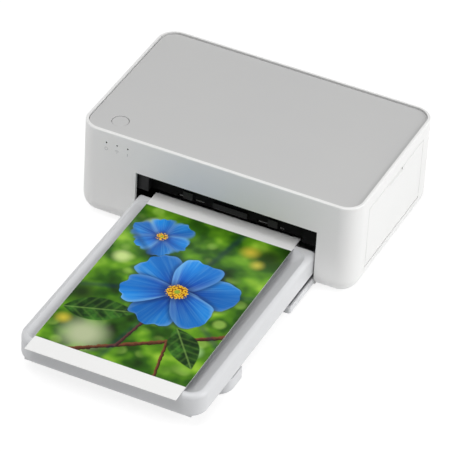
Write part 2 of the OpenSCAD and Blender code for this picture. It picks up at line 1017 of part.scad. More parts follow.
module ribbon_film() {
  low_front = [bar_y[0] - 1.6, film_z];
  low_back = [bar_y[1] + 1.6, film_z];
  color([0.6, 0.1, 0.4])
    from_front() {
      film_run(low_front, low_back);
      film_run(low_front, touch(low_front, takeup_at, takeup_roll_r + 0.25, 1));
      film_run(low_back, touch(low_back, supply_at, supply_roll_r + 0.25, -1));
    }
}

// ---------------------------------------------------------------- print head

module head_arm() {
  front = head_y - head_half_d - 1.8;
  color(steel)
    from_front()
      difference() {
        union() {
          translate([path_x - 58, front, arm_z])
            cube([116, 107 - front, arm_t]);
          translate([path_x - 58, 105.8, 50])
            cube([116, arm_t, arm_z + arm_t - 50]);
          for (s = [-1, 1])
            translate([path_x + s * tail_x - 5, 105.8, tail_z])
              cube([10, arm_t, 51 - tail_z]);
          for (x = [path_x - 58, path_x + 56.8])
            side_plate(x, 1.2)
              polygon([[105.8, 62], [105.8, 42.5], [108, 41.5], [112, 41.5], [114, 44],
                [114, 48], [111, 52], [108, 62]]);
          // tails that the springs push down
          for (s = [-1, 1])
            translate([path_x + s * tail_x - 3, 106, tail_z])
              cube([6, 12.5, arm_t]);
          // fold along the front edge
          translate([path_x - 58, front, arm_z - 1.5])
            cube([116, 1.2, 2]);
        }
        rod(path_x - 60, pivot_at, pivot_r + fit, 120);
        for (x = [-36, -12, 12, 36])
          translate([path_x + x - 7, 82, arm_z - cut])
            cube([14, 16, arm_t + 2 * cut]);
      }
}

module head_heat_sink() {
  pitch = 3.2;
  count = 32;
  low = head_z + 3.4;
  base = 3;
  y0 = head_y - head_half_d;
  y1 = head_y + head_half_d;
  color(alloy)
    from_front() {
      side_plate(path_x - head_half, 2 * head_half)
        polygon([
          lifted([y0, low]), lifted([y1, low]),
          lifted([y1, low + base]), lifted([y0, low + base])
        ]);
      for (i = [0 : count - 1])
        side_plate(path_x - head_half + 1.2 + i * pitch, 1)
          polygon([
            lifted([y0 + 0.4, low + base - 0.5]), lifted([y1, low + base - 0.5]),
            [y1 - 1.5, arm_z], [y0, arm_z]
          ]);
    }
}

// Ceramic board with the raised heater line along its lower face
module thermal_head() {
  board_z = head_z + 0.6;
  line = [for (a = [-130 : 10 : -50]) [head_y, head_z + 1.6] + 1.6 * [cos(a), sin(a)]];
  color([0.85, 0.82, 0.75])
    from_front()
      side_plate(path_x - head_half, 2 * head_half)
        polygon([
          for (p = concat(
            [[head_y - head_half_d, board_z]], line,
            [
              [head_y + head_half_d, board_z], [head_y + head_half_d, board_z + 2.8],
              [head_y - head_half_d, board_z + 2.8]
            ]
          )) lifted(p)
        ]);
}

module head_pivot_shaft()
  color(steel)
    from_front()
      rod(frame_l - 0.5, pivot_at, pivot_r, frame_r - frame_l + 2);

// Wire wound at radius r round +Z, one closed tube with flat ends
module coil(r, wire_r, turns, height) {
  sides = 6;
  steps = 10 * turns;
  points = [
    for (i = [0 : steps])
      for (j = [0 : sides - 1])
        let (a = 360 * turns * i / steps, b = 360 * j / sides, q = r + wire_r * cos(b))
        [q * cos(a), q * sin(a), height * i / steps + wire_r * sin(b)]
  ];
  walls = [
    for (i = [0 : steps - 1])
      for (j = [0 : sides - 1])
        let (k = (j + 1) % sides)
        each [
          [i * sides + j, (i + 1) * sides + j, (i + 1) * sides + k],
          [i * sides + j, (i + 1) * sides + k, i * sides + k]
        ]
  ];
  start_cap = [[for (j = [0 : sides - 1]) j]];
  end_cap = [[for (j = [sides - 1 : -1 : 0]) steps * sides + j]];
  polyhedron(points = points, faces = concat(walls, start_cap, end_cap));
}

// Two coil springs that push the arm's tails down and so lift the head
module head_springs() {
  turns = 7;
  wire_r = 0.4;
  low = tail_z + arm_t + wire_r + 0.1;
  high = deck_under - wire_r - 0.1;
  color(steel)
    from_front()
      for (s = [-1, 1])
        translate([path_x + s * tail_x, tail_y, low])
          coil(2, wire_r, turns, high - low);
}

// ---------------------------------------------------------------- door

module ribbon_door() {
  axis = [half_w - 1.25, door_z0 + 1.5];
  t = 2.4;
  top = door_z1 - gap;
  w = door_w - 2 * gap;
  color(white)
    from_front()
      difference() {
        union() {
          translate([half_w - t, door_y - w / 2, axis[1]])
            cube([t, w, top - axis[1]]);
          translate([axis[0], door_y - w / 2, axis[1]])
            rotate([-90, 0, 0])
              cylinder(r = 1.25, h = w);
          // stiffening ribs on the inner face
          for (y = [door_y - 30, door_y + 29])
            translate([half_w - t - 1.6, y, axis[1] + 6])
              cube([1.8, 1.2, 34]);
          // catch
          translate([half_w - t - 3, door_y - 4, top - 2.6])
            cube([3.2, 8, 1.2]);
        }
        translate([axis[0], door_y - w / 2 - cut, axis[1]])
          rotate([-90, 0, 0])
            cylinder(r = 0.7 + fit, h = w + 2 * cut);
        // finger scoop in the upper edge
        translate([half_w + 2.2, door_y + scoop_w / 2, top + 0.2])
          rotate([90, 0, 0])
            cylinder(r = 4, h = scoop_w);
      }
}

module door_hinge_pin()
  color(steel)
    from_front()
      translate([half_w - 1.25, door_y - door_w / 2 - 3.8, door_z0 + 1.5])
        rotate([-90, 0, 0])
          cylinder(r = 0.7, h = door_w + 7.6);

// ---------------------------------------------------------------- fan, boards

fan_x = path_x;
fan_z = 50.9;
fan_y = 115.4;
fan_half = 14;

module cooling_fan()
  color(black)
    from_front()
      translate([fan_x, fan_y, fan_z])
        rotate([-90, 0, 0]) {
          difference() {
            translate([-fan_half, -fan_half, 0])
              cube([2 * fan_half, 2 * fan_half, 6]);
            translate([0, 0, -cut])
              cylinder(r = 12.8, h = 6 + 2 * cut);
            for (x = [-11.8, 11.8])
              for (y = [-11.8, 11.8])
                translate([x, y, -cut])
                  cylinder(r = 1.2, h = 6 + 2 * cut);
          }
          // motor seat on three arms
          translate([0, 0, 5]) {
            cylinder(r = 5.2, h = 1);
            for (a = [90, 210, 330])
              rotate(a)
                translate([0, -0.8, 0])
                  cube([13, 1.6, 1]);
          }
        }

module fan_rotor()
  color(dark)
    from_front()
      translate([fan_x, fan_y, fan_z])
        rotate([-90, 0, 0]) {
          translate([0, 0, 0.5])
            cylinder(r = 5, h = 4.2);
          for (i = [0 : 6])
            rotate(i * 360 / 7)
              translate([4.6, 0, 2.6])
                rotate([35, 0, 0])
                  translate([0, -2.4, -0.4])
                    cube([7.6, 4.8, 0.8]);
        }

module main_board()
  color(board_green)
    from_front() {
      difference() {
        translate([-94, 13, 14.5])
          cube([1.5, 97, 41.5]);
        for (y = [17, 106])
          for (z = [18.5, 52])
            translate([-95, y, z])
              rotate([0, 90, 0])
                cylinder(r = 1.4, h = 4);
      }
      // processor, memory, drivers, coil, connectors
      translate([-92.6, 88, 38])
        cube([1.4, 12, 12]);
      translate([-92.6, 88, 28])
        cube([1.2, 8, 6]);
      translate([-92.6, 20, 20])
        cube([1.4, 10, 10]);
      translate([-92.6, 104, 24])
        cube([5, 5, 14]);
      translate([-92.6, 14, 36])
        cube([4.5, 10, 5]);
      for (z = [22, 28])
        translate([-92.6, 38, z])
          rotate([0, 90, 0])
            cylinder(r = 2.5, h = 7);
    }

module dc_jack()
  color(black)
    from_front() {
      difference() {
        union() {
          translate([-90, 110.6, 11.5])
            cube([11, 9.2, 10.5]);
          translate([-84.5, 119, 16.5])
            rotate([-90, 0, 0])
              cylinder(r = 4.2, h = body_d - 0.4 - 119);
        }
        translate([-84.5, 113, 16.5])
          rotate([-90, 0, 0])
            cylinder(r = 2.9, h = 14);
      }
      translate([-84.5, 112.6, 16.5])
        rotate([-90, 0, 0])
          cylinder(r = 0.9, h = 10.5);
    }

// ---------------------------------------------------------------- cassette

module cassette_pan() {
  foot_y1 = pan_y0 + foot_len;
  half_foot = tray_half - 0.2;
  ledge_r = 2;
  color(milky)
    from_front()
      difference() {
        union() {
          // paper well
          translate([path_x - well_half - well_wall, pan_y0 + 6, pan_z])
            cube([2 * (well_half + well_wall), pan_y1 - pan_y0 - 6, pan_top - pan_z]);
          // foot with the front end's round corners
          difference() {
            soft_block(path_x - half_foot, path_x + half_foot, pan_y0, pan_y0 + foot_len + tray_corner,
              0, pan_top, tray_corner, 2, 0.4);
            translate([path_x - 100, foot_y1, -cut])
              cube([200, 40, 20]);
          }
          // side ledges with their raised lips
          for (s = [-1, 1])
            translate([path_x + s * (well_half + pan_half) / 2, 0, 0])
              translate([-(pan_half - well_half) / 2, -ledge_reach, pan_z])
                cube([pan_half - well_half, pan_y1 + ledge_reach, 1.4]);
          for (x = [path_x - pan_half, path_x + pan_half - lip_t])
            translate([x, -ledge_reach, pan_z])
              cube([lip_t, pan_y1 + ledge_reach, lip_top - pan_z]);
          for (x = [path_x - pan_half, path_x + well_half + well_wall - 1])
            translate([x, -ledge_reach, pan_z])
              cube([pan_half - well_half - well_wall + 1, 2.2, lip_top - pan_z]);
          // ridges that guide the tray
          for (x = [-ridge_half, ridge_half])
            translate([path_x + x - ridge_w / 2, -ridge_l, pan_top - cut])
              cube([ridge_w, ridge_l, ridge_h + cut]);
        }
        // round outer corners of the ledges
        for (s = [-1, 1])
          translate([path_x + s * (pan_half - ledge_r), ledge_r - ledge_reach, pan_z - cut])
            difference() {
              translate([s > 0 ? 0 : -ledge_r - cut, -ledge_r - cut, 0])
                cube([ledge_r + cut, ledge_r + cut, 10]);
              translate([0, 0, -cut])
                cylinder(r = ledge_r, h = 10 + 2 * cut);
            }
        // well for the sheets
        translate([path_x - well_half, pan_y0 + well_end, pan_z + pan_floor])
          cube([2 * well_half, pan_y1 - pan_y0 - 2 * well_end, 10]);
        // hollow underside of the foot
        for (i = [-1 : 1])
          translate([path_x + i * 36 - 15, pan_y0 + 5, -cut])
            cube([30, foot_len - 8, 3.4 + cut]);
        // windows that the lifter reaches through
        for (x = [-20, 8])
          translate([path_x + x, 40, 0])
            cube([12, 12, 8]);
      }
}

module lift_plate()
  color(steel)
    from_front()
      difference() {
        union() {
          translate([path_x - 50.6, lift_hinge_y, lift_z])
            cube([101.2, pan_y1 - 3 - lift_hinge_y, lift_t]);
          rod(path_x - 51.2, [lift_hinge_y, lift_z + lift_t / 2], 0.4, 102.4);
        }
        for (y = [-80 : 40 : 0])
          for (x = [-30, 2])
            translate([path_x + x, y, lift_z - cut])
              cube([28, 26, lift_t + 2 * cut]);
      }

module paper_stack()
  color(paper)
    from_front()
      for (i = [0 : 4])
        translate([path_x - sheet_w / 2 + 0.1 * (i % 2), pan_y0 + well_end + 0.3,
          stack_z + i * stack_t / 5])
          cube([sheet_w - 0.2, sheet_l - 0.2, stack_t / 5]);

// Inner form of the tray, level by level: [inset from the outer wall, height below the rim]
dish = [[3.1, -1], [3.6, 0.3], [4.9, 1.2], [8, 3.4], [12.5, 6.4], [15.4, 7.6], [18.5, 8]];
rear_rim = 3.4;          // width of the rim at the tray's rear edge
rear_slope = 0.45;       // steepness of the rear wall against the others

// Outline of one level as four corner posts, grown outwards by g
module dish_level(level, g) {
  inset = level[0] - g;
  r = max(tray_corner - inset, 5);
  rear = rear_rim + (level[0] - dish[0][0]) * rear_slope - g;
  for (x = [-1, 1])
    for (y = [tray_y0 + inset + r, tray_y1 - rear - r])
      translate([path_x + x * (tray_half - inset - r), y, tray_top - level[1] - g])
        cylinder(r = r, h = 0.02, $fn = soft_fn);
}

module tray_dish(g)
  for (i = [0 : len(dish) - 2])
    hull() {
      dish_level(dish[i], g);
      dish_level(dish[i + 1], g);
    }

module output_tray() {
  shell_t = 1.8;
  wall_t = 3.2;
  rail_w = 6;
  far = 30;
  color(milky)
    from_front()
      difference() {
        union() {
          // outer wall and rim
          difference() {
            soft_block(path_x - tray_half, path_x + tray_half, tray_y0, tray_y1 + far,
              tray_z, tray_top, tray_corner, 3, 3.2);
            translate([path_x - 100, tray_y1, 0])
              cube([200, 2 * far, 60]);
            round_plate(path_x - tray_half + wall_t, path_x + tray_half - wall_t,
              tray_y0 + wall_t, tray_y1 - rear_rim, tray_z - cut, 13, tray_corner - wall_t);
          }
          // dished floor and its sloping walls
          tray_dish(shell_t);
          // rails under the floor
          for (x = [-ridge_half, ridge_half])
            translate([path_x + x - rail_w / 2, tray_y0 + 2, tray_z])
              cube([rail_w, tray_l - 4, 11.5]);
        }
        tray_dish(0);
        // grooves that run on the pan's ridges
        for (x = [-ridge_half, ridge_half])
          translate([path_x + x - ridge_w / 2 - gap, pan_y0 + 4 - tray_travel, tray_z - cut])
            cube([ridge_w + 2 * gap, 2 * tray_l, ridge_h + cut]);
      }
}

module photo_print() {
  rest_z = tray_top + 0.1;      // it lies on the tray's front and rear rims
  centre_y = -print_reach + sheet_l / 2 * cos(print_turn) + sheet_w / 2 * sin(print_turn);
  color(paper)
    from_front()
      translate([print_x, centre_y, rest_z])
        rotate([0, 0, print_turn])
          translate([-sheet_w / 2, -sheet_l / 2, 0])
            cube([sheet_w, sheet_l, sheet_t]);
}

outer_shell();
top_panel();
base_plate();
rubber_feet();
case_screws();
power_button();
button_board();
light_pipes();
mouth_liner();
gate_wall();
exit_rollers();
exit_guide();
rear_guide();
left_frame();
right_frame();
gear_plate();
gear_posts();
platen_roller();
platen_shaft();
platen_gear();
capstan_roller();
capstan_gear();
transfer_gear();
pinch_roller();
pickup_roller();
pickup_shaft();
pickup_gear();
pickup_idler();
feed_motor();
feed_pinion();
ribbon_motor();
ribbon_pinion();
takeup_driver();
ribbon_cartridge();
supply_spool();
takeup_spool();
ribbon_film();
head_arm();
thermal_head();
head_heat_sink();
head_pivot_shaft();
head_springs();
ribbon_door();
door_hinge_pin();
cooling_fan();
fan_rotor();
main_board();
dc_jack();
cassette_pan();
lift_plate();
paper_stack();
output_tray();
photo_print();
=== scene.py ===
# %% [markdown]
# # Compact photo printer, dressed for its picture
#
# The CAD model gives every part its true size and place. This script gives the parts
# the finish that the eye expects: eased edges, moulded plastic, plated steel, rubber,
# and a printed sheet on the tray. It runs from top to bottom in Blender 4.5.

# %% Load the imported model
import json
import math

import bmesh
import bpy
from mathutils import Matrix, Vector

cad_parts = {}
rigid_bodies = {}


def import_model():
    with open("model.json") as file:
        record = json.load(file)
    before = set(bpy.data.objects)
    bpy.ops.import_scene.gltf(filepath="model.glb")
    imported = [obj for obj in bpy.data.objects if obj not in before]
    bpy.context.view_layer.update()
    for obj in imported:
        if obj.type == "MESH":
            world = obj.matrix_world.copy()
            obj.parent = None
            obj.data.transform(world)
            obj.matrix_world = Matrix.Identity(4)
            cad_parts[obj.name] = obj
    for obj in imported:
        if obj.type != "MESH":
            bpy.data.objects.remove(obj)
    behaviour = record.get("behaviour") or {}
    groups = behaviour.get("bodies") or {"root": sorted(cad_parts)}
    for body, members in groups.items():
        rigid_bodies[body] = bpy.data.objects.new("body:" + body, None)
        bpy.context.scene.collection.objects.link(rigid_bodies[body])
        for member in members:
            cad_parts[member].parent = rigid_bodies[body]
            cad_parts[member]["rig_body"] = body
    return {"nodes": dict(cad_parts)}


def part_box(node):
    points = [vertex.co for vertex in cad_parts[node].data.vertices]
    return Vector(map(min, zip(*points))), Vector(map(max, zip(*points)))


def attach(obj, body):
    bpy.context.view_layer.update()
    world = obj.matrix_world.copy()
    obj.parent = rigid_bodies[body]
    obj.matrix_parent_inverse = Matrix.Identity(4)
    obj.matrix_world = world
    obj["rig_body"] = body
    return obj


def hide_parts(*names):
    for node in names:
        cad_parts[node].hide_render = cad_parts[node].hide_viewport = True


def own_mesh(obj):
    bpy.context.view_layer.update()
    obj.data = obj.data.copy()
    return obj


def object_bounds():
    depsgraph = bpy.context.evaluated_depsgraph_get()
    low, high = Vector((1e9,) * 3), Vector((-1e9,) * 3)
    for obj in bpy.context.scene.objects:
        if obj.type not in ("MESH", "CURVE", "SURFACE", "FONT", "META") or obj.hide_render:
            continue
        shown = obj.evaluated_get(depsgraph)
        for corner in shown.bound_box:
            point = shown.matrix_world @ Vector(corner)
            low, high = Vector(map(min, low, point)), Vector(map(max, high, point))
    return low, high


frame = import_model()
cad_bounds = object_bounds()
scene = bpy.context.scene
MM = 0.001
size = [round((b - a) / MM, 1) for a, b in zip(*cad_bounds)]
print("CAD model:", len(frame["nodes"]), "nodes,", size, "mm")

# %% [markdown]
# ## Camera
#
# The photograph was taken from a little above and from the right, with a long lens that
# keeps the housing's edges almost parallel. The camera turns round a point in the
# housing: two angles and a distance say where it stands, a third angle tilts the
# frame, and a small sidestep puts the printer where the picture has it.

# %% Camera
AIM = Vector((0, 85.0, 42.5)) * MM
AZIMUTH = math.radians(23.74)
ELEVATION = math.radians(37.15)
ROLL = math.radians(3.51)
DISTANCE = 2344.19 * MM
SIDESTEP = Vector((-19.74, -47.3)) * MM
LENS_MM = 290.16
SENSOR_MM = 36.0
NEAREST, FARTHEST = 0.05, 20.0  # metres: what lies outside isn't drawn

back = Vector((
    math.sin(AZIMUTH) * math.cos(ELEVATION),
    -math.cos(AZIMUTH) * math.cos(ELEVATION),
    math.sin(ELEVATION),
))
level_right = Vector((0, 0, 1)).cross(back).normalized()
level_up = back.cross(level_right)
right = level_right * math.cos(ROLL) + level_up * math.sin(ROLL)
up = level_up * math.cos(ROLL) - level_right * math.sin(ROLL)

camera = bpy.data.objects.new("camera", bpy.data.cameras.new("camera"))
scene.collection.objects.link(camera)
scene.camera = camera
camera.data.sensor_width = SENSOR_MM
camera.data.lens = LENS_MM
camera.data.clip_start = NEAREST
camera.data.clip_end = FARTHEST
camera.matrix_world = (
    Matrix.Translation(AIM + back * DISTANCE + right * SIDESTEP.x + up * SIDESTEP.y)
    @ Matrix((right, up, back)).transposed().to_4x4()
)
scene.view_settings.view_transform = "Standard"
print("camera at", [round(c, 3) for c in camera.matrix_world.translation])

# %% [markdown]
# ## Helpers for materials
#
# A colour is written as the hex value a colour picker shows, which is sRGB, and the
# renderer wants linear light, so one function converts it. A second one adds a node,
# sets what it is told and links what it is given; every material and every rule for a
# row or scatter is built with it. A third one starts an empty material.

# %% Colour and node helpers
def linear(hex_colour):
    """'#rrggbb' as a picker shows it, turned into linear RGBA by the sRGB standard's curve."""
    channels = [int(hex_colour[i:i + 2], 16) / 255 for i in (1, 3, 5)]
    return [c / 12.92 if c <= 0.04045 else ((c + 0.055) / 1.055) ** 2.4
            for c in channels] + [1.0]


def add(tree, kind, inputs=None, **settings):
    """Adds one node. inputs holds values or sockets to link, by socket name or number."""
    node = tree.nodes.new(kind)
    for name, value in settings.items():
        setattr(node, name, value)
    for socket, value in (inputs or {}).items():
        if isinstance(value, bpy.types.NodeSocket):
            tree.links.new(value, node.inputs[socket])
        else:
            node.inputs[socket].default_value = value
    return node


def new_material(name):
    """An empty node material and its output node."""
    material = bpy.data.materials.new(name)
    material.use_nodes = True
    material.node_tree.nodes.clear()
    output = add(material.node_tree, "ShaderNodeOutputMaterial")
    return material.node_tree, output, material


# %% [markdown]
# ## Floor
#
# The printer stands on a white sweep that the picture shows as plain white. The floor
# is an ordinary pale surface for the light that bounces, and for the camera it adds
# enough white that only the printer's own soft shadow stays visible.

# %% Floor
FLOOR_HALF = 6.0
FLOOR_GLOW = 0.84

tree, output, floor_paper = new_material("sweep_of_white_paper")
matt = add(tree, "ShaderNodeBsdfDiffuse", {"Color": linear("#e4e4e4")})
veil = add(tree, "ShaderNodeBsdfDiffuse", {"Color": linear("#8a8a8a")})
glow = add(tree, "ShaderNodeEmission", {"Color": (1, 1, 1, 1), "Strength": FLOOR_GLOW})
rays = add(tree, "ShaderNodeLightPath").outputs
seen = add(tree, "ShaderNodeMath", {0: rays["Is Camera Ray"], 1: rays["Is Glossy Ray"]},
           operation="MAXIMUM")
seen = add(tree, "ShaderNodeMath", {0: seen.outputs[0], 1: rays["Is Transmission Ray"]},
           operation="MAXIMUM")
lit = add(tree, "ShaderNodeAddShader", {0: veil.outputs[0], 1: glow.outputs[0]})
mix = add(tree, "ShaderNodeMixShader",
          {0: seen.outputs[0], 1: matt.outputs[0], 2: lit.outputs[0]})
tree.links.new(mix.outputs[0], output.inputs["Surface"])

mesh = bpy.data.meshes.new("floor")
corners = [(x, y, 0) for x, y in ((-1, -1), (1, -1), (1, 1), (-1, 1))]
mesh.from_pydata(corners, [], [(0, 1, 2, 3)])
mesh.transform(Matrix.Scale(FLOOR_HALF, 4))
mesh.materials.append(floor_paper)
floor = bpy.data.objects.new("floor", mesh)
scene.collection.objects.link(floor)
print("floor:", 2 * FLOOR_HALF, "m square")

# %% [markdown]
# ## Light
#
# One large softbox hangs high in front of the printer. Two more stand at its sides, the
# right one stronger, because the right side is the brightest face of the housing. The
# room itself adds a little light from everywhere, which keeps the shadows open, and the
# camera sees it as plain white.

# %% Room and softboxes
ROOM_LEVEL = 0.14

world = bpy.data.worlds.new("studio")
world.use_nodes = True
scene.world = world
tree = world.node_tree
tree.nodes.clear()
rays = add(tree, "ShaderNodeLightPath").outputs
room = add(tree, "ShaderNodeBackground", {"Color": (1, 1, 1, 1), "Strength": ROOM_LEVEL})
white = add(tree, "ShaderNodeBackground", {"Color": (1, 1, 1, 1), "Strength": 1.0})
mix = add(tree, "ShaderNodeMixShader",
          {0: rays["Is Camera Ray"], 1: room.outputs[0], 2: white.outputs[0]})
add(tree, "ShaderNodeOutputWorld", {"Surface": mix.outputs[0]})


def softbox(name, place, width, height, watts):
    """A rectangular lamp at place (metres) that faces the printer."""
    lamp = bpy.data.lights.new(name, "AREA")
    lamp.shape = "RECTANGLE"
    lamp.size, lamp.size_y = width, height
    lamp.energy = watts
    box = bpy.data.objects.new(name, lamp)
    scene.collection.objects.link(box)
    turn = (AIM - Vector(place)).to_track_quat("-Z", "Y").to_matrix().to_4x4()
    box.matrix_world = Matrix.Translation(place) @ turn
    print(name + ":", watts, "W")


softbox("softbox_right", (1.6, 0.35, 0.75), 1.2, 1.2, 20)
softbox("softbox_left", (-1.6, 0.2, 0.7), 1.2, 1.2, 5.5)
softbox("softbox_front", (-0.1, -0.7, 1.8), 1.6, 1.2, 25.5)

# %% [markdown]
# ## Moulded plastics
#
# The housing is ABS, moulded in a finely sparked tool: pale, with a soft broad highlight
# and a grain that only shows as a faint sparkle. The same recipe, with other colours
# and another grain, makes the black bay and the milky tray. The grain is a noise pattern
# on the object's own coordinates, so it stays put on the part. A real spark grain is
# about 0.05 mm; it is drawn several times coarser so that a render can show it.

# %% Moulded plastic
CLOUD_MM = 45.0  # width of the slight unevenness that every moulding's colour has


def moulded(name, colour, tint, roughness, grain_mm, relief_mm, coat=0.0, shine=0.5):
    """Plastic from a textured tool. colour and tint are the ends of its unevenness."""
    tree, output, material = new_material(name)
    where = add(tree, "ShaderNodeTexCoord").outputs["Object"]
    cloud = add(tree, "ShaderNodeTexNoise",
                {"Vector": where, "Scale": 1 / (CLOUD_MM * MM), "Detail": 2.0})
    shade = add(tree, "ShaderNodeMix", {
        "Factor": cloud.outputs["Fac"], "A": linear(colour), "B": linear(tint),
    }, data_type="RGBA")
    grain = add(tree, "ShaderNodeTexNoise", {
        "Vector": where, "Scale": 1 / (grain_mm * MM), "Detail": 3.0, "Roughness": 0.6,
    })
    gloss = add(tree, "ShaderNodeMapRange", {
        "Value": grain.outputs["Fac"],
        "To Min": roughness - 0.05,
        "To Max": roughness + 0.06,
    })
    bump = add(tree, "ShaderNodeBump", {
        "Height": grain.outputs["Fac"], "Distance": relief_mm * MM, "Strength": 0.6,
    })
    plastic = add(tree, "ShaderNodeBsdfPrincipled", {
        "Base Color": shade.outputs["Result"],
        "Roughness": gloss.outputs["Result"],
        "Normal": bump.outputs["Normal"],
        "IOR": 1.53,
        "Specular IOR Level": shine,
        "Coat Weight": coat,
        "Coat Roughness": 0.25,
    })
    tree.links.new(plastic.outputs["BSDF"], output.inputs["Surface"])
    return material


abs_white = moulded("abs_white_sparked", "#f0f0ef", "#ececeb", 0.42, 0.35, 0.012)
abs_black = moulded("abs_black_sparked", "#060606", "#09090a", 0.7, 0.4, 0.02, shine=0.12)
# painted light: a lighter copy of the bay's black for the parts that catch more light, and
# polished
abs_black_painted_lit = moulded("abs_black_polished_painted_lit", "#19191a", "#1e1e20", 0.45, 0.4, 0.006,
                       shine=0.25)
milky = moulded("polystyrene_milky_satin", "#d9dadc", "#d5d6d8", 0.38, 0.5, 0.01)
smoked = moulded("polystyrene_dark_smooth", "#26262a", "#2b2b30", 0.3, 0.6, 0.008)
acetal = moulded("acetal_natural", "#e6e2d6", "#dfdacc", 0.35, 0.8, 0.006)
acetal_grey = moulded("acetal_grey", "#9c9c9b", "#949493", 0.35, 0.8, 0.006)
lacquer_grey = moulded("abs_grey_lacquered", "#cacac9", "#c7c7c7", 0.4, 0.3, 0.006,
                       coat=0.15)
print(len(bpy.data.materials), "materials so far")

# %% [markdown]
# ## Metals
#
# Sheet steel is rolled and zinc plated: long faint streaks and small crystals in the
# roughness. Shafts are ground, so their streaks run round them and are too fine to
# see; they only stretch the highlight. One recipe makes them all: a noise pattern that
# is stretched along the way the metal was worked.

# %% Metals
def streaked(name, colour, roughness, stretch, spacing_mm, relief_mm=0.004):
    """Metal with fine parallel marks; stretch shortens the pattern along each axis."""
    tree, output, material = new_material(name)
    where = add(tree, "ShaderNodeTexCoord").outputs["Object"]
    laid = add(tree, "ShaderNodeMapping", {"Vector": where, "Scale": stretch})
    marks = add(tree, "ShaderNodeTexNoise", {
        "Vector": laid.outputs["Vector"], "Scale": 1 / (spacing_mm * MM), "Detail": 4.0,
    })
    gloss = add(tree, "ShaderNodeMapRange", {
        "Value": marks.outputs["Fac"],
        "To Min": roughness - 0.1,
        "To Max": roughness + 0.12,
    })
    bump = add(tree, "ShaderNodeBump",
               {"Height": marks.outputs["Fac"], "Distance": relief_mm * MM})
    metal = add(tree, "ShaderNodeBsdfPrincipled", {
        "Base Color": linear(colour),
        "Metallic": 1.0,
        "Roughness": gloss.outputs["Result"],
        "Normal": bump.outputs["Normal"],
    })
    tree.links.new(metal.outputs["BSDF"], output.inputs["Surface"])
    return material


zinc_sheet = streaked("steel_sheet_zinc_plated", "#c9cccf", 0.38, (1, 0.08, 1), 1.2)
ground_steel = streaked("steel_ground_shaft", "#d3d5d8", 0.22, (1, 0.2, 0.2), 0.3)
spring_wire = streaked("spring_wire_bright", "#c4c7ca", 0.3, (1, 1, 1), 0.5)
brass = streaked("brass_turned", "#d9b25f", 0.3, (1, 0.3, 0.3), 0.4)
aluminium = streaked("aluminium_extruded_anodised", "#c8cacd", 0.42, (0.05, 1, 1), 0.6)
print(len(bpy.data.materials), "materials so far")

# %% [markdown]
# ## Rubber
#
# The rollers that carry the paper and the feet are black nitrile rubber: dark and dull,
# with a faint grey bloom that comes out of the rubber as it ages. Bloom is a cloud a few
# millimetres wide in the colour, and the ground skin is a fine bump.

# %% Rubber
BLOOM_MM = 6.0
PORE_MM = 0.5


def rubber(name, colour, bloom):
    """Dull rubber with clouds of bloom and a finely pored skin."""
    tree, output, material = new_material(name)
    where = add(tree, "ShaderNodeTexCoord").outputs["Object"]
    dust = add(tree, "ShaderNodeTexNoise",
               {"Vector": where, "Scale": 1 / (BLOOM_MM * MM), "Detail": 6.0})
    shade = add(tree, "ShaderNodeMix", {
        "Factor": dust.outputs["Fac"], "A": linear(colour), "B": linear(bloom),
    }, data_type="RGBA")
    pores = add(tree, "ShaderNodeTexNoise",
                {"Vector": where, "Scale": 1 / (PORE_MM * MM), "Detail": 2.0})
    bump = add(tree, "ShaderNodeBump",
               {"Height": pores.outputs["Fac"], "Distance": 0.02 * MM})
    skin = add(tree, "ShaderNodeBsdfPrincipled", {
        "Base Color": shade.outputs["Result"],
        "Roughness": 0.75,
        "IOR": 1.52,
        "Normal": bump.outputs["Normal"],
    })
    tree.links.new(skin.outputs["BSDF"], output.inputs["Surface"])
    return material


nitrile = rubber("nitrile_rubber_black", "#17171a", "#232326")
print("rubber:", nitrile.name)

# %% [markdown]
# ## Smooth surfaces
#
# The print head's ceramic strip is glazed, the status lights are polished acrylic, ink
# is printed from a pad, and blank photo paper has a glossy skin. None has a grain that
# shows, so their recipe leaves the surface smooth and only mottles the colour a little,
# because a perfectly even colour looks like a drawing.

# %% Glazed ceramic, acrylic, marking ink and blank photo paper
MOTTLE_SHARE = 0.06


def smooth(name, colour, roughness, ior, mottle="#ffffff", mottle_mm=4.0):
    """A smooth surface whose colour is faintly mottled."""
    tree, output, material = new_material(name)
    where = add(tree, "ShaderNodeTexCoord").outputs["Object"]
    cloud = add(tree, "ShaderNodeTexNoise",
                {"Vector": where, "Scale": 1 / (mottle_mm * MM), "Detail": 3.0})
    amount = add(tree, "ShaderNodeMath", {0: cloud.outputs["Fac"], 1: MOTTLE_SHARE},
                 operation="MULTIPLY")
    shade = add(tree, "ShaderNodeMix", {
        "Factor": amount.outputs[0], "A": linear(colour), "B": linear(mottle),
    }, data_type="RGBA")
    skin = add(tree, "ShaderNodeBsdfPrincipled", {
        "Base Color": shade.outputs["Result"],
        "Roughness": roughness,
        "IOR": ior,
    })
    tree.links.new(skin.outputs["BSDF"], output.inputs["Surface"])
    return material


ceramic = smooth("alumina_glazed", "#d8d2c4", 0.15, 1.7)
acrylic = smooth("acrylic_smoked", "#0c0c0e", 0.25, 1.49, mottle="#18181a")
ink = smooth("marking_ink_grey", "#b0b0b1", 0.6, 1.5)
plain_paper = smooth("photo_paper_blank", "#f2f2f1", 0.32, 1.5, mottle="#e8e6e0")
print(len(bpy.data.materials), "materials so far")

# %% [markdown]
# ## Circuit boards
#
# A board is glass fibre with copper tracks under a green lacquer, the solder mask. Here
# the narrow edges between the cells of a Voronoi pattern stand for the tracks, paler
# and a little raised, because a real layout would need a drawing of its own.

# %% Circuit board
CELL_MM = 5.0
TRACK_SHARE = 0.06


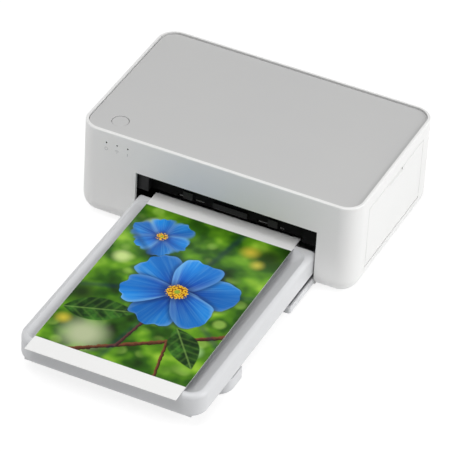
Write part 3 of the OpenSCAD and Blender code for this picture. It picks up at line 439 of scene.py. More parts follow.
def circuit_board():
    """Green solder mask over copper tracks, which are the edges between cells."""
    tree, output, material = new_material("circuit_board_solder_mask")
    where = add(tree, "ShaderNodeTexCoord").outputs["Object"]
    cells = add(tree, "ShaderNodeTexVoronoi", {"Vector": where, "Scale": 1 / (CELL_MM * MM)},
                feature="DISTANCE_TO_EDGE")
    track = add(tree, "ShaderNodeMath", {0: cells.outputs["Distance"], 1: TRACK_SHARE},
                operation="LESS_THAN")
    shade = add(tree, "ShaderNodeMix", {
        "Factor": track.outputs[0], "A": linear("#0d4a2a"), "B": linear("#1c6b3f"),
    }, data_type="RGBA")
    bump = add(tree, "ShaderNodeBump", {"Height": track.outputs[0], "Distance": 0.04 * MM})
    mask = add(tree, "ShaderNodeBsdfPrincipled", {
        "Base Color": shade.outputs["Result"],
        "Roughness": 0.3,
        "Normal": bump.outputs["Normal"],
    })
    tree.links.new(mask.outputs["BSDF"], output.inputs["Surface"])
    return material


board = circuit_board()
print("board:", board.name)

# %% [markdown]
# ## Ribbon film
#
# The ribbon is thin polyester film. Panels of yellow, magenta and cyan dye and a clear
# coat follow each other along it, each as long as a picture. Here all four are drawn
# within 24 mm, so that every colour shows on the short free run and on the rolls. A
# stepped colour ramp, repeated along the film, paints them without a picture file.

# %% Dyed ribbon film
REPEAT_MM = 24.0


def dyed_film():
    """Bands of the three dyes and the clear coat, one after another along the ribbon."""
    tree, output, material = new_material("ribbon_film_dyed")
    where = add(tree, "ShaderNodeTexCoord").outputs["Object"]
    place = add(tree, "ShaderNodeSeparateXYZ", {"Vector": where})
    turn = add(tree, "ShaderNodeMath", {0: place.outputs["Y"], 1: 1 / (REPEAT_MM * MM)},
               operation="MULTIPLY")
    step = add(tree, "ShaderNodeMath", {0: turn.outputs[0]}, operation="FRACT")
    bands = add(tree, "ShaderNodeValToRGB", {"Fac": step.outputs[0]})
    ramp = bands.color_ramp
    ramp.interpolation = "CONSTANT"
    ramp.elements[0].color = linear("#c9a21a")
    ramp.elements[1].position = 0.3
    ramp.elements[1].color = linear("#8c1f5e")
    ramp.elements.new(0.6).color = linear("#1b5f8f")
    ramp.elements.new(0.9).color = linear("#7d7a78")
    film = add(tree, "ShaderNodeBsdfPrincipled", {
        "Base Color": bands.outputs["Color"],
        "Roughness": 0.18,
        "IOR": 1.6,
    })
    tree.links.new(film.outputs["BSDF"], output.inputs["Surface"])
    return material


ribbon = dyed_film()
print("film:", ribbon.name)

# %% [markdown]
# ## The picture on the print
#
# A dye print has no dots: its colours are smooth. The picture is a garden view made here
# from formulas: two blue poppies, two leaves and three twigs before foliage that is out
# of focus. Everything is worked out in millimetres on the sheet, so the pattern keeps
# its size. Two bare ends of the sheet stay white; they tear off.
#
# The picture is painted like a poster, from the back to the front. Each shape is a layer
# of colour whose edge is a soft ramp: how far a point lies inside the shape decides how
# much of the colour covers what is below.

# %% Sheet and layers of colour
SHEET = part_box("photo_print")
SHEET_TURN = math.radians(0.5)
SHEET_CENTRE = (SHEET[0] + SHEET[1]) / 2
PICTURE_HALF_L = 76.0
print("sheet:", [round(edge / MM, 1) for edge in SHEET[1] - SHEET[0]], "mm")


def layer(tree, below, colour, *ramps, strength=1.0):
    """colour over what is below, at a strength, where every ramp is up.

    A ramp is a value and the two levels of it between which the ramp rises from 0 to 1.
    """
    amount = strength
    for value, low, high in ramps:
        rise = add(tree, "ShaderNodeMapRange",
                   {"Value": value, "From Min": low, "From Max": high},
                   interpolation_type="SMOOTHSTEP")
        amount = add(tree, "ShaderNodeMath", {0: rise.outputs["Result"], 1: amount},
                     operation="MULTIPLY").outputs[0]
    return add(tree, "ShaderNodeMix", {"Factor": amount, "A": below, "B": colour},
               data_type="RGBA").outputs["Result"]


def local_axes(tree, point, centre, turn):
    """x and y measured from a centre, along turned axes."""
    moved = add(tree, "ShaderNodeMapping", {
        "Vector": point, "Location": (*centre, 0), "Rotation": (0, 0, turn),
    }, vector_type="TEXTURE")
    axes = add(tree, "ShaderNodeSeparateXYZ", {"Vector": moved.outputs["Vector"]})
    return axes.outputs["X"], axes.outputs["Y"]


# %% [markdown]
# ### Patches, twigs and leaves
#
# A patch out of focus is a disc with a wide soft edge. A twig is a strip between two
# places, roughened by noise. A leaf is the area under a hump along its midrib, fuller
# towards the stalk, and the hump is cut off at zero, or else its formula would draw
# more leaf beyond the tips.

# %% Blurred patches and twigs
def spot(tree, point, below, centre, radius, softness, colour):
    """A round out-of-focus patch."""
    away = add(tree, "ShaderNodeVectorMath", {0: point, 1: (*centre, 0)},
               operation="DISTANCE").outputs["Value"]
    return layer(tree, below, linear(colour), (away, radius + softness, radius - softness))


def twig(tree, point, below, start, finish, width):
    """A straight twig between two places, a little rough along its sides."""
    run = Vector(finish) - Vector(start)
    x, y = local_axes(tree, point, start, math.atan2(run.y, run.x))
    bark = add(tree, "ShaderNodeTexNoise", {"Vector": point, "Scale": 0.35, "Detail": 5.0})
    side = add(tree, "ShaderNodeMath", {0: bark.outputs["Fac"], 1: width, 2: y},
               operation="MULTIPLY_ADD").outputs[0]
    middle = add(tree, "ShaderNodeMath", {0: side, 1: width / 2}, operation="SUBTRACT")
    off = add(tree, "ShaderNodeMath", {0: middle.outputs[0]}, operation="ABSOLUTE")
    tone = layer(tree, linear("#3a1d12"), linear("#7d4a30"), (side, width * 0.9, 0.2))
    return layer(tree, below, tone, (off.outputs[0], width * 0.55, width * 0.42),
                 (x, -0.3, 0.3), (x, run.length + 0.3, run.length - 0.3))


# %% Leaves
LEAF_FULLNESS = 0.24
LEAF_EDGE = 0.5


def leaf(tree, point, below, centre, length, turn):
    """A pointed leaf with a pale midrib and soft side veins."""
    x, y = local_axes(tree, point, centre, turn)
    along = add(tree, "ShaderNodeMath", {0: x, 1: length / 2}, operation="DIVIDE").outputs[0]
    square = add(tree, "ShaderNodeMath", {0: along, 1: along}, operation="MULTIPLY")
    hump = add(tree, "ShaderNodeMath", {0: 1.0, 1: square.outputs[0]},
               operation="SUBTRACT", use_clamp=True).outputs[0]
    skew = add(tree, "ShaderNodeMath", {0: along, 1: -0.25, 2: 1.0}, operation="MULTIPLY_ADD")
    half = add(tree, "ShaderNodeMath", {0: hump, 1: skew.outputs[0]}, operation="MULTIPLY")
    half = add(tree, "ShaderNodeMath", {0: half.outputs[0], 1: length * LEAF_FULLNESS},
               operation="MULTIPLY")
    away = add(tree, "ShaderNodeMath", {0: y}, operation="ABSOLUTE").outputs[0]
    inside = add(tree, "ShaderNodeMath", {0: half.outputs[0], 1: away}, operation="SUBTRACT")

    cloud = add(tree, "ShaderNodeTexNoise", {"Vector": point, "Scale": 0.12, "Detail": 3.0})
    slant = add(tree, "ShaderNodeMath", {0: away, 1: -0.8, 2: x}, operation="MULTIPLY_ADD")
    vein = add(tree, "ShaderNodeMath", {0: slant.outputs[0]}, operation="SINE").outputs[0]
    tone = layer(tree, linear("#173510"), linear("#47852a"), (cloud.outputs["Fac"], 0.35, 0.75))
    tone = layer(tree, tone, linear("#0d260b"), (y, -2.5, 2.5), strength=0.5)
    tone = layer(tree, tone, linear("#7fae4c"), (vein, 0.2, 1.0), strength=0.14)
    tone = layer(tree, tone, linear("#8fb95e"), (away, 0.9, 0.1), strength=0.4)
    return layer(tree, below, tone, (inside.outputs[0], -LEAF_EDGE, LEAF_EDGE),
                 (hump, 0.0, 0.02))


# %% [markdown]
# ### Poppies
#
# A poppy of this kind has broad petals as thin as paper, in two rows. A petal widens
# from the flower's centre and ends in a blunt rim, which slow noise makes uneven. Faster
# noise along the rays that fan out from the centre gives the fine pleats. Each petal
# darkens what lies behind it near its edge, which sets the rows apart. The flower out
# of focus goes without that shade.

# %% Poppy petals
SHARP, BLURRED = 0.35, 2.0  # softness of an edge in mm
PLEATS, ALONG, SEED_STEP = 22.0, 0.03, 3.0  # noise cells per radian, per mm, and per petal


def petal(tree, point, below, centre, length, turn, light, softness):
    """A broad petal from the flower's centre outwards, with fine rays and a pale rim."""
    x, y = local_axes(tree, point, centre, turn)
    fan = add(tree, "ShaderNodeMath", {0: x, 1: 0.2 * length}, operation="ADD")
    angle = add(tree, "ShaderNodeMath", {0: y, 1: fan.outputs[0]}, operation="ARCTAN2")
    rays = add(tree, "ShaderNodeCombineXYZ", {"X": angle.outputs[0], "Y": x, "Z": turn})
    rays = add(tree, "ShaderNodeVectorMath",
               {0: rays.outputs[0], 1: (PLEATS, ALONG, SEED_STEP)}, operation="MULTIPLY")
    pleats = add(tree, "ShaderNodeTexNoise",
                 {"Vector": rays.outputs[0], "Scale": 1.0, "Detail": 3.0}).outputs["Fac"]
    waves = add(tree, "ShaderNodeTexNoise",
                {"Vector": rays.outputs[0], "Scale": 0.16, "Detail": 1.0}).outputs["Fac"]

    uneven = add(tree, "ShaderNodeMath", {0: waves, 1: 0.5}, operation="SUBTRACT")
    reach = add(tree, "ShaderNodeMath", {0: uneven.outputs[0], 1: 0.5 * length, 2: x},
                operation="MULTIPLY_ADD")
    run = add(tree, "ShaderNodeMath", {0: reach.outputs[0], 1: length},
              operation="DIVIDE", use_clamp=True).outputs[0]
    widening = add(tree, "ShaderNodeMath", {0: run, 1: 0.6}, operation="POWER")
    blunt = add(tree, "ShaderNodeMath", {0: run, 1: 5.0}, operation="POWER")
    blunt = add(tree, "ShaderNodeMath", {0: 1.0, 1: blunt.outputs[0]}, operation="SUBTRACT")
    rim = add(tree, "ShaderNodeMath", {0: blunt.outputs[0]}, operation="SQRT")
    rim = add(tree, "ShaderNodeMath", {0: rim.outputs[0], 1: 0.56 * length},
              operation="MULTIPLY")
    half = add(tree, "ShaderNodeMath", {0: widening.outputs[0], 1: rim.outputs[0]},
               operation="MULTIPLY")
    away = add(tree, "ShaderNodeMath", {0: y}, operation="ABSOLUTE")
    inside = add(tree, "ShaderNodeMath", {0: half.outputs[0], 1: away.outputs[0]},
                 operation="SUBTRACT").outputs[0]

    fold = add(tree, "ShaderNodeMath", {0: waves, 1: 10.0, 2: y}, operation="MULTIPLY_ADD")
    tone = layer(tree, linear("#0f48b8"), linear("#1d8eea"), (run, 0.1, 0.85))
    tone = layer(tree, tone, linear("#74c4f6"), (pleats, 0.4, 0.75), strength=0.4)
    tone = layer(tree, tone, linear("#a2daf9"), (inside, 4.0, 0.0), strength=0.35)
    tone = layer(tree, tone, linear("#0a3f9c"),
                 (fold.outputs[0], 0.38 * length, 0.05 * length), strength=0.4)
    tone = layer(tree, tone, linear("#072a70"), strength=1.0 - light)
    if softness < BLURRED:
        below = layer(tree, below, linear("#041640"), (inside, -3.5 - softness, 0.0),
                      (x, 0.0, 3.0), strength=0.45)
    return layer(tree, below, tone, (inside, -softness, softness), (x, 0.0, 1.0),
                 (run, 1.0, 0.985))


# %% Stamens and whole poppies
def stamens(tree, point, below, centre, radius):
    """Golden stamens round a green middle, and the shade that they throw on the petals."""
    away = add(tree, "ShaderNodeVectorMath", {0: point, 1: (*centre, 0)},
               operation="DISTANCE").outputs["Value"]
    grains = add(tree, "ShaderNodeTexVoronoi", {"Vector": point, "Scale": 0.75},
                 voronoi_dimensions="2D").outputs["Distance"]
    rough = add(tree, "ShaderNodeMath", {0: grains, 1: 3.0, 2: away},
                operation="MULTIPLY_ADD").outputs[0]
    below = layer(tree, below, linear("#06245f"), (away, radius * 1.9, radius * 0.7),
                  strength=0.7)
    gold = layer(tree, linear("#8c4f0e"), linear("#f6c22e"), (grains, 0.62, 0.25))
    below = layer(tree, below, gold, (rough, radius + 0.9, radius + 0.3))
    return spot(tree, point, below, centre, radius * 0.25, 0.5, "#8faf3a")


def poppy(tree, point, below, centre, length, first_turn, softness):
    """Three petals behind and three in front, lit from the upper left."""
    for row, (grown, light) in enumerate(((1.0, 0.82), (0.92, 1.0))):
        for k in range(3):
            turn = first_turn + math.radians(120 * k + 60 * row)
            lit = light - 0.16 * (1 - math.cos(turn - math.radians(120))) / 2
            below = petal(tree, point, below, centre, length * grown, turn, lit, softness)
    return stamens(tree, point, below, centre, length * 0.2)


# %% [markdown]
# ### The whole picture
#
# A slow noise pattern run through a ramp of greens is the foliage far behind. Blurred
# discs of light and a few listed patches break it up. Then come the far poppy, the
# twigs, the leaves and the near poppy. Last, the sheet's two ends, its edges and its
# back are left as bare paper.

# %% The whole picture
PATCHES = (
    ((-26, -60), 12, 9, "#b9c39a"), ((-36, 58), 6, 4, "#cfe3a8"),
    ((40, -44), 5, 3.5, "#a8d58a"), ((42, 62), 9, 7, "#26400f"),
    ((-46, -24), 8, 7, "#223a12"), ((-40, 20), 5, 3.5, "#c9e08c"),
    ((29, 62), 4, 5, "#cdb93a"), ((38, 52), 3, 4, "#c9c048"),
    ((-44, -52), 3.5, 4, "#cfbf3c"),
)
TWIGS = (((52, -22), (-30, -79), 3.4), ((22, -43), (30, -79), 2.0), ((5, -5), (-4, -62), 2.2))
LEAVES = (((-28, -34), 46, 0.35), ((34, -44), 40, -0.9))
BARE_PAPER = "#f4f4f3"
LINE_BLUR = 0.15


def foliage(tree, point):
    """Greens far out of focus, with discs of light."""
    mass = add(tree, "ShaderNodeTexNoise",
               {"Vector": point, "Scale": 0.045, "Detail": 2.2, "Roughness": 0.5})
    greens = add(tree, "ShaderNodeValToRGB", {"Fac": mass.outputs["Fac"]})
    ramp = greens.color_ramp
    ramp.elements[0].position, ramp.elements[0].color = 0.3, linear("#142a06")
    ramp.elements[1].position, ramp.elements[1].color = 0.74, linear("#a2cf3e")
    ramp.elements.new(0.44).color = linear("#2f5f10")
    ramp.elements.new(0.58).color = linear("#629a1c")
    discs = add(tree, "ShaderNodeTexVoronoi",
                {"Vector": point, "Scale": 0.075, "Smoothness": 0.4}, feature="SMOOTH_F1")
    lit = add(tree, "ShaderNodeTexNoise", {"Vector": point, "Scale": 0.03, "Detail": 1.0})
    return layer(tree, greens.outputs["Color"], linear("#b2dc62"),
                 (discs.outputs["Distance"], 0.42, 0.2), (lit.outputs["Fac"], 0.42, 0.68),
                 strength=0.5)


def garden_picture():
    """The dye print's paper: picture, bare ends, and blank edges and back."""
    tree, output, material = new_material("photo_paper_dye_print")
    where = add(tree, "ShaderNodeTexCoord").outputs["Object"]
    moved = add(tree, "ShaderNodeMapping", {
        "Vector": where, "Location": (*SHEET_CENTRE.xy, 0), "Rotation": (0, 0, SHEET_TURN),
        "Scale": (MM, MM, MM),
    }, vector_type="TEXTURE")
    flat = add(tree, "ShaderNodeVectorMath", {0: moved.outputs["Vector"], 1: (1, 1, 0)},
               operation="MULTIPLY").outputs["Vector"]

    colour = foliage(tree, flat)
    for centre, radius, softness, tint in PATCHES:
        colour = spot(tree, flat, colour, centre, radius, softness, tint)
    colour = poppy(tree, flat, colour, (-27, 50), 20, 0.9, BLURRED)
    for start, finish, width in TWIGS:
        colour = twig(tree, flat, colour, start, finish, width)
    for centre, length, turn in LEAVES:
        colour = leaf(tree, flat, colour, centre, length, turn)
    colour = poppy(tree, flat, colour, (6, 4), 37, 0.35, SHARP)

    axes = add(tree, "ShaderNodeSeparateXYZ", {"Vector": flat})
    from_middle = add(tree, "ShaderNodeMath", {0: axes.outputs["Y"]}, operation="ABSOLUTE")
    colour = layer(tree, colour, linear(BARE_PAPER), (
        from_middle.outputs[0], PICTURE_HALF_L - LINE_BLUR, PICTURE_HALF_L + LINE_BLUR))
    facing = add(tree, "ShaderNodeNewGeometry").outputs["Normal"]
    facing = add(tree, "ShaderNodeSeparateXYZ", {"Vector": facing})
    top = add(tree, "ShaderNodeMath", {0: facing.outputs["Z"], 1: 0.5},
              operation="GREATER_THAN")
    faces = add(tree, "ShaderNodeMix", {
        "Factor": top.outputs[0], "A": linear(BARE_PAPER), "B": colour,
    }, data_type="RGBA")
    sheet = add(tree, "ShaderNodeBsdfPrincipled", {
        "Base Color": faces.outputs["Result"],
        "Roughness": 0.3,
        "IOR": 1.5,
    })
    tree.links.new(sheet.outputs["BSDF"], output.inputs["Surface"])
    return material


picture_paper = garden_picture()
print("picture:", len(picture_paper.node_tree.nodes), "nodes")

# %% [markdown]
# ## Mouldings in two colours
#
# The grey lacquer of the top panel also covers the inner wall of the housing's rim, and
# the roller housings in the bay are polished where the wall behind them is sparked. Their
# lighter black is painted light, because they catch more light than the wall. A face of
# such a moulding gets its second finish by where its middle lies, so two small tests say
# which faces those are. Places are in millimetres, and y counts back from the front face.

# %% Where the second finish lies
FRONT_FACE = Vector((0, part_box("outer_shell")[0].y / MM, 0))
panel_low, panel_high = (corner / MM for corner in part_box("top_panel"))
RIM_INNER_HALF = (panel_high - panel_low) / 2
RIM_MIDDLE_Y = (panel_high.y + panel_low.y) / 2 - FRONT_FACE.y
RIM_CORNER = 10.8  # radius of the rim's inner upright corners
RIM_REACH = 0.4  # how far outside the panel's outline a face still is the rim's inner wall
SEAT_DEPTH, LIP_ROUNDING = 3.0, 0.3
PANEL_TOP = panel_high.z
SHELL_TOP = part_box("outer_shell")[1].z / MM
BLOCKS_FROM, BLOCKS_TO, BLOCKS_TOP = 6.9, 8.95, 37.8
CHEEK_X, CHEEK_TO = -47.0, 8.9


def on_front_blocks(place):
    """The roller housings and the left cheek, which catch more light than the wall, so their
    lighter black is painted light.
    """
    x, y, z = place
    return (BLOCKS_FROM < y < BLOCKS_TO and z < BLOCKS_TOP) or (x < CHEEK_X and y < CHEEK_TO)


def on_panel_seat(place):
    """The inner wall of the shell's rim, without the rounding at its top."""
    x, y, z = place
    past_x = max(0, abs(x) - RIM_INNER_HALF.x + RIM_CORNER)
    past_y = max(0, abs(y - RIM_MIDDLE_Y) - RIM_INNER_HALF.y + RIM_CORNER)
    within = math.hypot(past_x, past_y) < RIM_CORNER + RIM_REACH
    return within and PANEL_TOP - SEAT_DEPTH < z < SHELL_TOP - LIP_ROUNDING


print("panel lies", round(SHELL_TOP - PANEL_TOP, 2), "mm below the rim")

# %% [markdown]
# ## Dressing the CAD parts
#
# Moulded and pressed parts never have knife edges: each edge has a small radius that
# catches the light. So most parts that show get a copy whose loose triangles are welded,
# whose flat faces are joined, and whose edges are rounded by a Bevel modifier. Shafts,
# gears and what stays hidden keep their CAD mesh and only get their material.

# %% Copies with eased edges
WELD_MM, SPECK_MM = 0.002, 0.001
FLAT_WITHIN = math.radians(0.4)
CREASE = math.radians(32)
EASE_STEPS = 2


def dressed(node, material, ease_mm, accent=None):
    """A piece that stands for a CAD node, with rounded edges and smooth curved faces."""
    source = frame["nodes"][node]
    bm = bmesh.new()
    bm.from_mesh(source.data)
    bmesh.ops.remove_doubles(bm, verts=bm.verts, dist=WELD_MM * MM)
    bmesh.ops.dissolve_degenerate(bm, edges=bm.edges, dist=SPECK_MM * MM)
    bmesh.ops.dissolve_limit(bm, angle_limit=FLAT_WITHIN, verts=bm.verts, edges=bm.edges)
    mesh = bpy.data.meshes.new(node + "_eased")
    bm.to_mesh(mesh)
    bm.free()
    mesh.materials.clear()
    mesh.materials.append(material)
    if accent:
        mesh.materials.append(accent[0])
        for face in mesh.polygons:
            face.material_index = int(accent[1](face.center / MM - FRONT_FACE))
    mesh.shade_smooth()
    mesh.set_sharp_from_angle(angle=CREASE)
    piece = bpy.data.objects.new(node + "_eased", mesh)
    scene.collection.objects.link(piece)
    if ease_mm:
        bevel = piece.modifiers.new("eased_edges", "BEVEL")
        bevel.width = ease_mm * MM
        bevel.segments = EASE_STEPS
        bevel.limit_method = "ANGLE"
        bevel.angle_limit = CREASE
        bevel.use_clamp_overlap = True
        bevel.harden_normals = True
        weighted = piece.modifiers.new("flat_faces", "WEIGHTED_NORMAL")
        weighted.keep_sharp = True
    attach(piece, source["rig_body"])
    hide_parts(node)
    return piece


# %% Which part gets which finish
eased = {
    "outer_shell": (abs_white, 0.25, (lacquer_grey, on_panel_seat)),
    "top_panel": (lacquer_grey, 0.2),
    "power_button": (lacquer_grey, 0.25),
    "ribbon_door": (abs_white, 0.2),
    "base_plate": (abs_white, 0.2),
    "mouth_liner": (abs_black, 0.2),
    # the roller housings and the left cheek get the lighter black, which is painted light
    "gate_wall": (abs_black, 0.2, (abs_black_painted_lit, on_front_blocks)),
    "exit_guide": (abs_black, 0.15),
    "rear_guide": (abs_black, 0.15),
    "exit_rollers": (acetal_grey, 0.3),
    "output_tray": (milky, 0.5),
    "cassette_pan": (milky, 0.3),
    "rubber_feet": (nitrile, 0.5),
}
for node, finish in eased.items():
    dressed(node, *finish)

as_they_are = {
    zinc_sheet: ("left_frame", "right_frame", "gear_plate", "feed_motor", "ribbon_motor",
                 "head_arm", "lift_plate", "case_screws"),
    ground_steel: ("gear_posts", "platen_shaft", "capstan_roller", "pickup_shaft",
                   "head_pivot_shaft", "door_hinge_pin"),
    brass: ("feed_pinion", "ribbon_pinion"),
    aluminium: ("head_heat_sink",),
    nitrile: ("platen_roller", "pickup_roller"),
    acetal: ("platen_gear", "capstan_gear", "transfer_gear", "pickup_gear", "pickup_idler",
             "takeup_driver"),
    smoked: ("pinch_roller", "ribbon_cartridge", "cooling_fan", "fan_rotor", "dc_jack"),
    ribbon: ("supply_spool", "takeup_spool", "ribbon_film"),
    ceramic: ("thermal_head",),
    board: ("button_board", "main_board"),
    acrylic: ("light_pipes",),
    plain_paper: ("paper_stack",),
    picture_paper: ("photo_print",),
}
for material, names in as_they_are.items():
    for node in names:
        mesh = frame["nodes"][node].data
        mesh.materials.clear()
        mesh.materials.append(material)
print(len(eased), "parts with eased edges,", sum(map(len, as_they_are.values())), "as they are")

# %% [markdown]
# ## The springs of the print head
#
# When the print head comes down for printing, two tails behind its pivot go up and press
# their springs against the ceiling. The springs belong to the housing and can't swing
# with the head, so on the real printer they are squashed: their tops stay where they are,
# and they shorten by as much as the tails rise at the far edge of the coils. Here they
# only get the spring wire's finish and a mesh of their own.

# %% Head springs
springs = dressed("head_springs", spring_wire, 0)
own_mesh(springs)

# %% [markdown]
# ## Marks under the lights
#
# Three small marks are pad printed in grey under the status lights: a ring, two waves
# over a dot, and a short bar. Ink has no thickness to speak of, but a shape that lies
# exactly in the face would flicker, so each is a closed flat body that stands 0.02 mm
# proud. Parts of rings make them all: a short piece of a very wide ring is the bar.

# %% Marks
MARK_Z = 57.5
WAVES_Z = MARK_Z - 0.9
MARK_PROUD = 0.02
LIGHTS_X = [-77.1 + 7.55 * i for i in range(3)]
BAR_RADIUS, BAR_HALF = 30, 1


def arc_band(bm, centre, inner, outer, start=0, end=360, steps=24):
    """A flat ring, or a part of one, in the plane of the front face."""
    rows = []
    for i in range(steps if end - start == 360 else steps + 1):
        angle = math.radians(start + (end - start) * i / steps)
        spoke = math.cos(angle), math.sin(angle)
        rows.append([bm.verts.new((centre[0] + r * spoke[0], 0, centre[1] + r * spoke[1]))
                     for r in (inner, outer)])
    if end - start == 360:
        rows.append(rows[0])
    for one, two in zip(rows, rows[1:]):
        bm.faces.new((one[0], one[1], two[1], two[0]))


bm = bmesh.new()
arc_band(bm, (LIGHTS_X[0], MARK_Z), 0.95, 1.2)
arc_band(bm, (LIGHTS_X[1], WAVES_Z), 0.05, 0.3, steps=12)
arc_band(bm, (LIGHTS_X[1], WAVES_Z), 0.85, 1.1, 40, 140, 10)
arc_band(bm, (LIGHTS_X[1], WAVES_Z), 1.65, 1.9, 40, 140, 12)
arc_band(bm, (LIGHTS_X[2], MARK_Z - BAR_RADIUS), BAR_RADIUS - BAR_HALF,
         BAR_RADIUS + BAR_HALF, 89.7, 90.3, 1)
thick = bmesh.ops.extrude_face_region(bm, geom=bm.faces[:])["geom"]
thick = [v for v in thick if isinstance(v, bmesh.types.BMVert)]
bmesh.ops.translate(bm, verts=thick, vec=(0, 2 * MARK_PROUD, 0))
bmesh.ops.recalc_face_normals(bm, faces=bm.faces[:])
bmesh.ops.transform(bm, matrix=Matrix.Scale(MM, 4), verts=bm.verts)
bmesh.ops.translate(bm, verts=bm.verts, vec=(0, (FRONT_FACE.y - MARK_PROUD) * MM, 0))
mesh = bpy.data.meshes.new("light_marks")
bm.to_mesh(mesh)
bm.free()
mesh.materials.append(ink)
marks = bpy.data.objects.new("light_marks", mesh)
scene.collection.objects.link(marks)
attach(marks, "base")
print("marks:", len(mesh.polygons), "faces")

# %% [markdown]
# ## A helper for Geometry Nodes
#
# Rows and scatters follow a rule, so each is made by a small Geometry Nodes tree
# with its sizes as named inputs. The helper runs the tree once on a starting mesh
# and keeps the plain mesh that comes out, because a game engine or a printer can't
# run the tree.

# %% Run a tree, keep its mesh
def new_tree(name, sizes):
    """A tree with a geometry input and output and one input for each size."""
    tree = bpy.data.node_groups.new(name, "GeometryNodeTree")
    for way in ("INPUT", "OUTPUT"):
        tree.interface.new_socket("Geometry", in_out=way, socket_type="NodeSocketGeometry")
    for label, value in sizes.items():
        kind = "NodeSocketInt" if isinstance(value, int) else "NodeSocketFloat"
        tree.interface.new_socket(label, in_out="INPUT", socket_type=kind)
    return tree, add(tree, "NodeGroupInput").outputs


def grow(name, tree, result, sizes, body):
    """Ends the tree with result, runs it once, and makes the mesh that comes out a piece."""
    whole = add(tree, "GeometryNodeRealizeInstances", {"Geometry": result})
    add(tree, "NodeGroupOutput", {"Geometry": whole.outputs[0]})
    seed_mesh = bpy.data.meshes.new(name + "_start")
    seed_mesh.from_pydata([(0, 0, 0)], [], [])
    start = bpy.data.objects.new(name + "_start", seed_mesh)
    scene.collection.objects.link(start)
    modifier = start.modifiers.new("rule", "NODES")
    modifier.node_group = tree
    for socket in tree.interface.items_tree:
        if socket.in_out == "INPUT" and socket.name in sizes:
            modifier[socket.identifier] = sizes[socket.name]
    depsgraph = bpy.context.evaluated_depsgraph_get()
    mesh = bpy.data.meshes.new_from_object(start.evaluated_get(depsgraph), depsgraph=depsgraph)
    start.modifiers.remove(modifier)
    bpy.data.objects.remove(start)
    mesh.name = name
    piece = bpy.data.objects.new(name, mesh)
    scene.collection.objects.link(piece)
    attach(piece, body)
    print(name + ":", len(mesh.polygons), "faces")


# %% [markdown]
# ## Tear-off perforation
#
# The two bare ends of the sheet come off along a line of fine slits. A slit is a cut
# through the paper; here each is a thin grey sliver that lies in the sheet's upper face,
# painted shade that stands for the dark gap of the cut, because cutting a hundred holes
# would make the sheet heavy and show nothing more.

# %% Perforation
SLIVER_THICK, SLIVER_SUNK = 0.03 * MM, 0.01 * MM
sizes = {"Slit length": 1.1 * MM, "Slit width": 0.14 * MM, "Spacing": 2.0 * MM, "Count": 50,
         "Row at": PICTURE_HALF_L * MM}
tree, given = new_tree("perforation", sizes)
slit_size = add(tree, "ShaderNodeCombineXYZ", {
    "X": given["Slit length"], "Y": given["Slit width"], "Z": SLIVER_THICK})
slit = add(tree, "GeometryNodeMeshCube", {"Size": slit_size.outputs[0]})
# the grey of each sliver is painted shade for the gap of a cut
slit = add(tree, "GeometryNodeSetMaterial", {"Geometry": slit.outputs["Mesh"], "Material": ink})
gaps = add(tree, "ShaderNodeMath", {0: given["Count"], 1: 1.0}, operation="SUBTRACT")
half_gap = add(tree, "ShaderNodeMath", {0: given["Spacing"], 1: -0.5}, operation="MULTIPLY")
row_start = add(tree, "ShaderNodeMath", {0: gaps.outputs[0], 1: half_gap.outputs[0]},
                operation="MULTIPLY")
step = add(tree, "ShaderNodeCombineXYZ", {"X": given["Spacing"]})
rows = add(tree, "GeometryNodeJoinGeometry")
for side in (-1, 1):
    row_at = add(tree, "ShaderNodeMath", {0: given["Row at"], 1: side}, operation="MULTIPLY")
    first = add(tree, "ShaderNodeCombineXYZ",
                {"X": row_start.outputs[0], "Y": row_at.outputs[0]})
    row = add(tree, "GeometryNodeMeshLine", {
        "Count": given["Count"], "Start Location": first.outputs[0],
        "Offset": step.outputs[0]}, mode="OFFSET")
    tree.links.new(row.outputs["Mesh"], rows.inputs["Geometry"])
slits = add(tree, "GeometryNodeInstanceOnPoints",
            {"Points": rows.outputs["Geometry"], "Instance": slit.outputs["Geometry"]})
laid = add(tree, "GeometryNodeTransform", {
    "Geometry": slits.outputs["Instances"],
    "Translation": (SHEET_CENTRE.x, SHEET_CENTRE.y, SHEET[1].z - SLIVER_SUNK),
    "Rotation": (0, 0, SHEET_TURN),
})
grow("tear_perforation", tree, laid.outputs["Geometry"], sizes, "print")

# %% [markdown]
# ## Grit of the capstan roller
#
# The steel roller that moves the paper grips it with rows of tiny raised points. They
# are about 0.05 mm high on the real one and drawn twice as high here, so that they show.
# One ring of points is made first, and the ring is then repeated along the shaft, each
# time turned a little more by a share of the golden angle, so that no two points near
# each other stand in a row.

# %% Capstan grit
POINT_SIDES = 4
GOLDEN_ANGLE = 137.5
BANDS_FROM = (-34 * MM, 16 * MM)  # where the two gritted bands start, from the sheet's middle
sizes = {"Radius": 3.98 * MM, "Point height": 0.1 * MM, "Ring step": 0.8 * MM, "Rings": 24,
         "Around": 28}
RING_TURN = math.radians(GOLDEN_ANGLE / sizes["Around"])
capstan_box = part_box("capstan_roller")
capstan_axis = (capstan_box[0] + capstan_box[1]) / 2

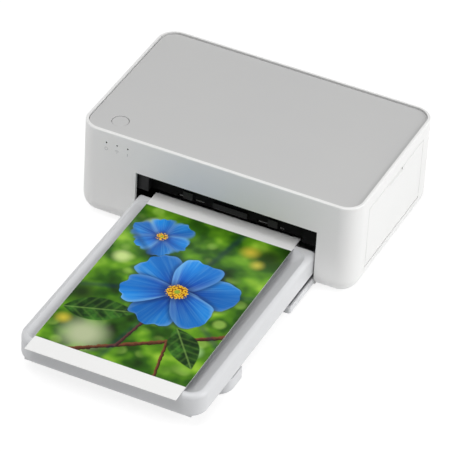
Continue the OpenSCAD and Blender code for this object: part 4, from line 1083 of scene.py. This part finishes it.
tree, given = new_tree("capstan_grit", sizes)
ring = add(tree, "GeometryNodeMeshCircle",
           {"Vertices": given["Around"], "Radius": given["Radius"]})
outward = add(tree, "FunctionNodeAlignRotationToVector",
              {"Vector": add(tree, "GeometryNodeInputPosition").outputs[0]}, axis="Z")
point = add(tree, "GeometryNodeMeshCone", {
    "Vertices": POINT_SIDES, "Radius Bottom": given["Point height"],
    "Depth": given["Point height"]})
points = add(tree, "GeometryNodeInstanceOnPoints", {
    "Points": ring.outputs["Mesh"], "Instance": point.outputs["Mesh"],
    "Rotation": outward.outputs[0]})
upright = add(tree, "GeometryNodeTransform",
              {"Geometry": points.outputs["Instances"], "Rotation": (0, math.radians(90), 0)})
index = add(tree, "GeometryNodeInputIndex").outputs[0]
twist = add(tree, "ShaderNodeMath", {0: index, 1: RING_TURN}, operation="MULTIPLY")
twist = add(tree, "ShaderNodeCombineXYZ", {"X": twist.outputs[0]})
step = add(tree, "ShaderNodeCombineXYZ", {"X": given["Ring step"]})
bands = add(tree, "GeometryNodeJoinGeometry")
for band_x in BANDS_FROM:
    line = add(tree, "GeometryNodeMeshLine", {
        "Count": given["Rings"],
        "Start Location": (SHEET_CENTRE.x + band_x, capstan_axis.y, capstan_axis.z),
        "Offset": step.outputs[0]}, mode="OFFSET")
    band = add(tree, "GeometryNodeInstanceOnPoints", {
        "Points": line.outputs["Mesh"], "Instance": upright.outputs["Geometry"],
        "Rotation": twist.outputs[0]})
    tree.links.new(band.outputs["Instances"], bands.inputs["Geometry"])
grit = add(tree, "GeometryNodeSetMaterial",
           {"Geometry": bands.outputs["Geometry"], "Material": ground_steel})
grow("capstan_grit", tree, grit.outputs["Geometry"], sizes, "capstan")

# %% [markdown]
# ## Small parts on the main board
#
# Between the chips that the CAD model has, a board carries dozens of small resistors and
# capacitors: ceramic bodies with tinned ends, soldered flat, lengthwise or crosswise.
# A grid with some places left out at random looks like a laid-out board.

# %% Materials of the chip resistors
tin = streaked("tin_solder_dipped", "#d5d6d8", 0.35, (1, 1, 1), 0.6)
chip_black = smooth("chip_resistor_glazed", "#1b1b1d", 0.3, 1.5, mottle="#2c2c30",
                    mottle_mm=1.0)
print(len(bpy.data.materials), "materials in all")

# %% Chip resistors
BODY_SHARE, END_SHARE, END_AT, BODY_THICK = 0.66, 0.18, 0.41, 0.94
FIELD_LENGTH, FIELD_HEIGHT = 36 * MM, 30 * MM
FIELD_CENTRE = (-92.25 * MM, (65 + FRONT_FACE.y) * MM, 35 * MM)
CROSSWISE_SHARE, CROSSWISE_SEED = 0.4, 3
sizes = {"Chip length": 2.0 * MM, "Chip width": 1.2 * MM, "Chip height": 0.5 * MM,
         "Across": 11, "Up": 9, "Filled": 0.55, "Seed": 7}

tree, given = new_tree("chip_resistors", sizes)
full_size = add(tree, "ShaderNodeCombineXYZ", {
    "X": given["Chip length"], "Y": given["Chip width"], "Z": given["Chip height"]})
chip = add(tree, "GeometryNodeJoinGeometry")
for at, share, thick_share, material in (
    (0, BODY_SHARE, BODY_THICK, chip_black), (-END_AT, END_SHARE, 1, tin),
    (END_AT, END_SHARE, 1, tin),
):
    block_size = add(tree, "ShaderNodeVectorMath",
                     {0: full_size.outputs[0], 1: (share, thick_share, thick_share)},
                     operation="MULTIPLY")
    block = add(tree, "GeometryNodeMeshCube", {"Size": block_size.outputs[0]})
    block = add(tree, "GeometryNodeSetMaterial",
                {"Geometry": block.outputs["Mesh"], "Material": material})
    place = add(tree, "ShaderNodeVectorMath", {0: full_size.outputs[0], 1: (at, 0, 0)},
                operation="MULTIPLY")
    block = add(tree, "GeometryNodeTransform",
                {"Geometry": block.outputs["Geometry"], "Translation": place.outputs[0]})
    tree.links.new(block.outputs["Geometry"], chip.inputs["Geometry"])
grid = add(tree, "GeometryNodeMeshGrid", {
    "Size X": FIELD_LENGTH, "Size Y": FIELD_HEIGHT,
    "Vertices X": given["Across"], "Vertices Y": given["Up"]})
kept = add(tree, "FunctionNodeRandomValue",
           {"Probability": given["Filled"], "Seed": given["Seed"]}, data_type="BOOLEAN")
crosswise = add(tree, "FunctionNodeRandomValue",
                {"Probability": CROSSWISE_SHARE, "Seed": CROSSWISE_SEED}, data_type="BOOLEAN")
turned = add(tree, "ShaderNodeMath", {0: crosswise.outputs["Value"], 1: math.radians(90)},
             operation="MULTIPLY")
turned = add(tree, "ShaderNodeCombineXYZ", {"Z": turned.outputs[0]})
chips = add(tree, "GeometryNodeInstanceOnPoints", {
    "Points": grid.outputs["Mesh"], "Instance": chip.outputs["Geometry"],
    "Selection": kept.outputs["Value"], "Rotation": turned.outputs[0]})
stood = add(tree, "GeometryNodeTransform", {
    "Geometry": chips.outputs["Instances"], "Translation": FIELD_CENTRE,
    "Rotation": (math.radians(90), 0, math.radians(90))})
grow("chip_resistors", tree, stood.outputs["Geometry"], sizes, "base")
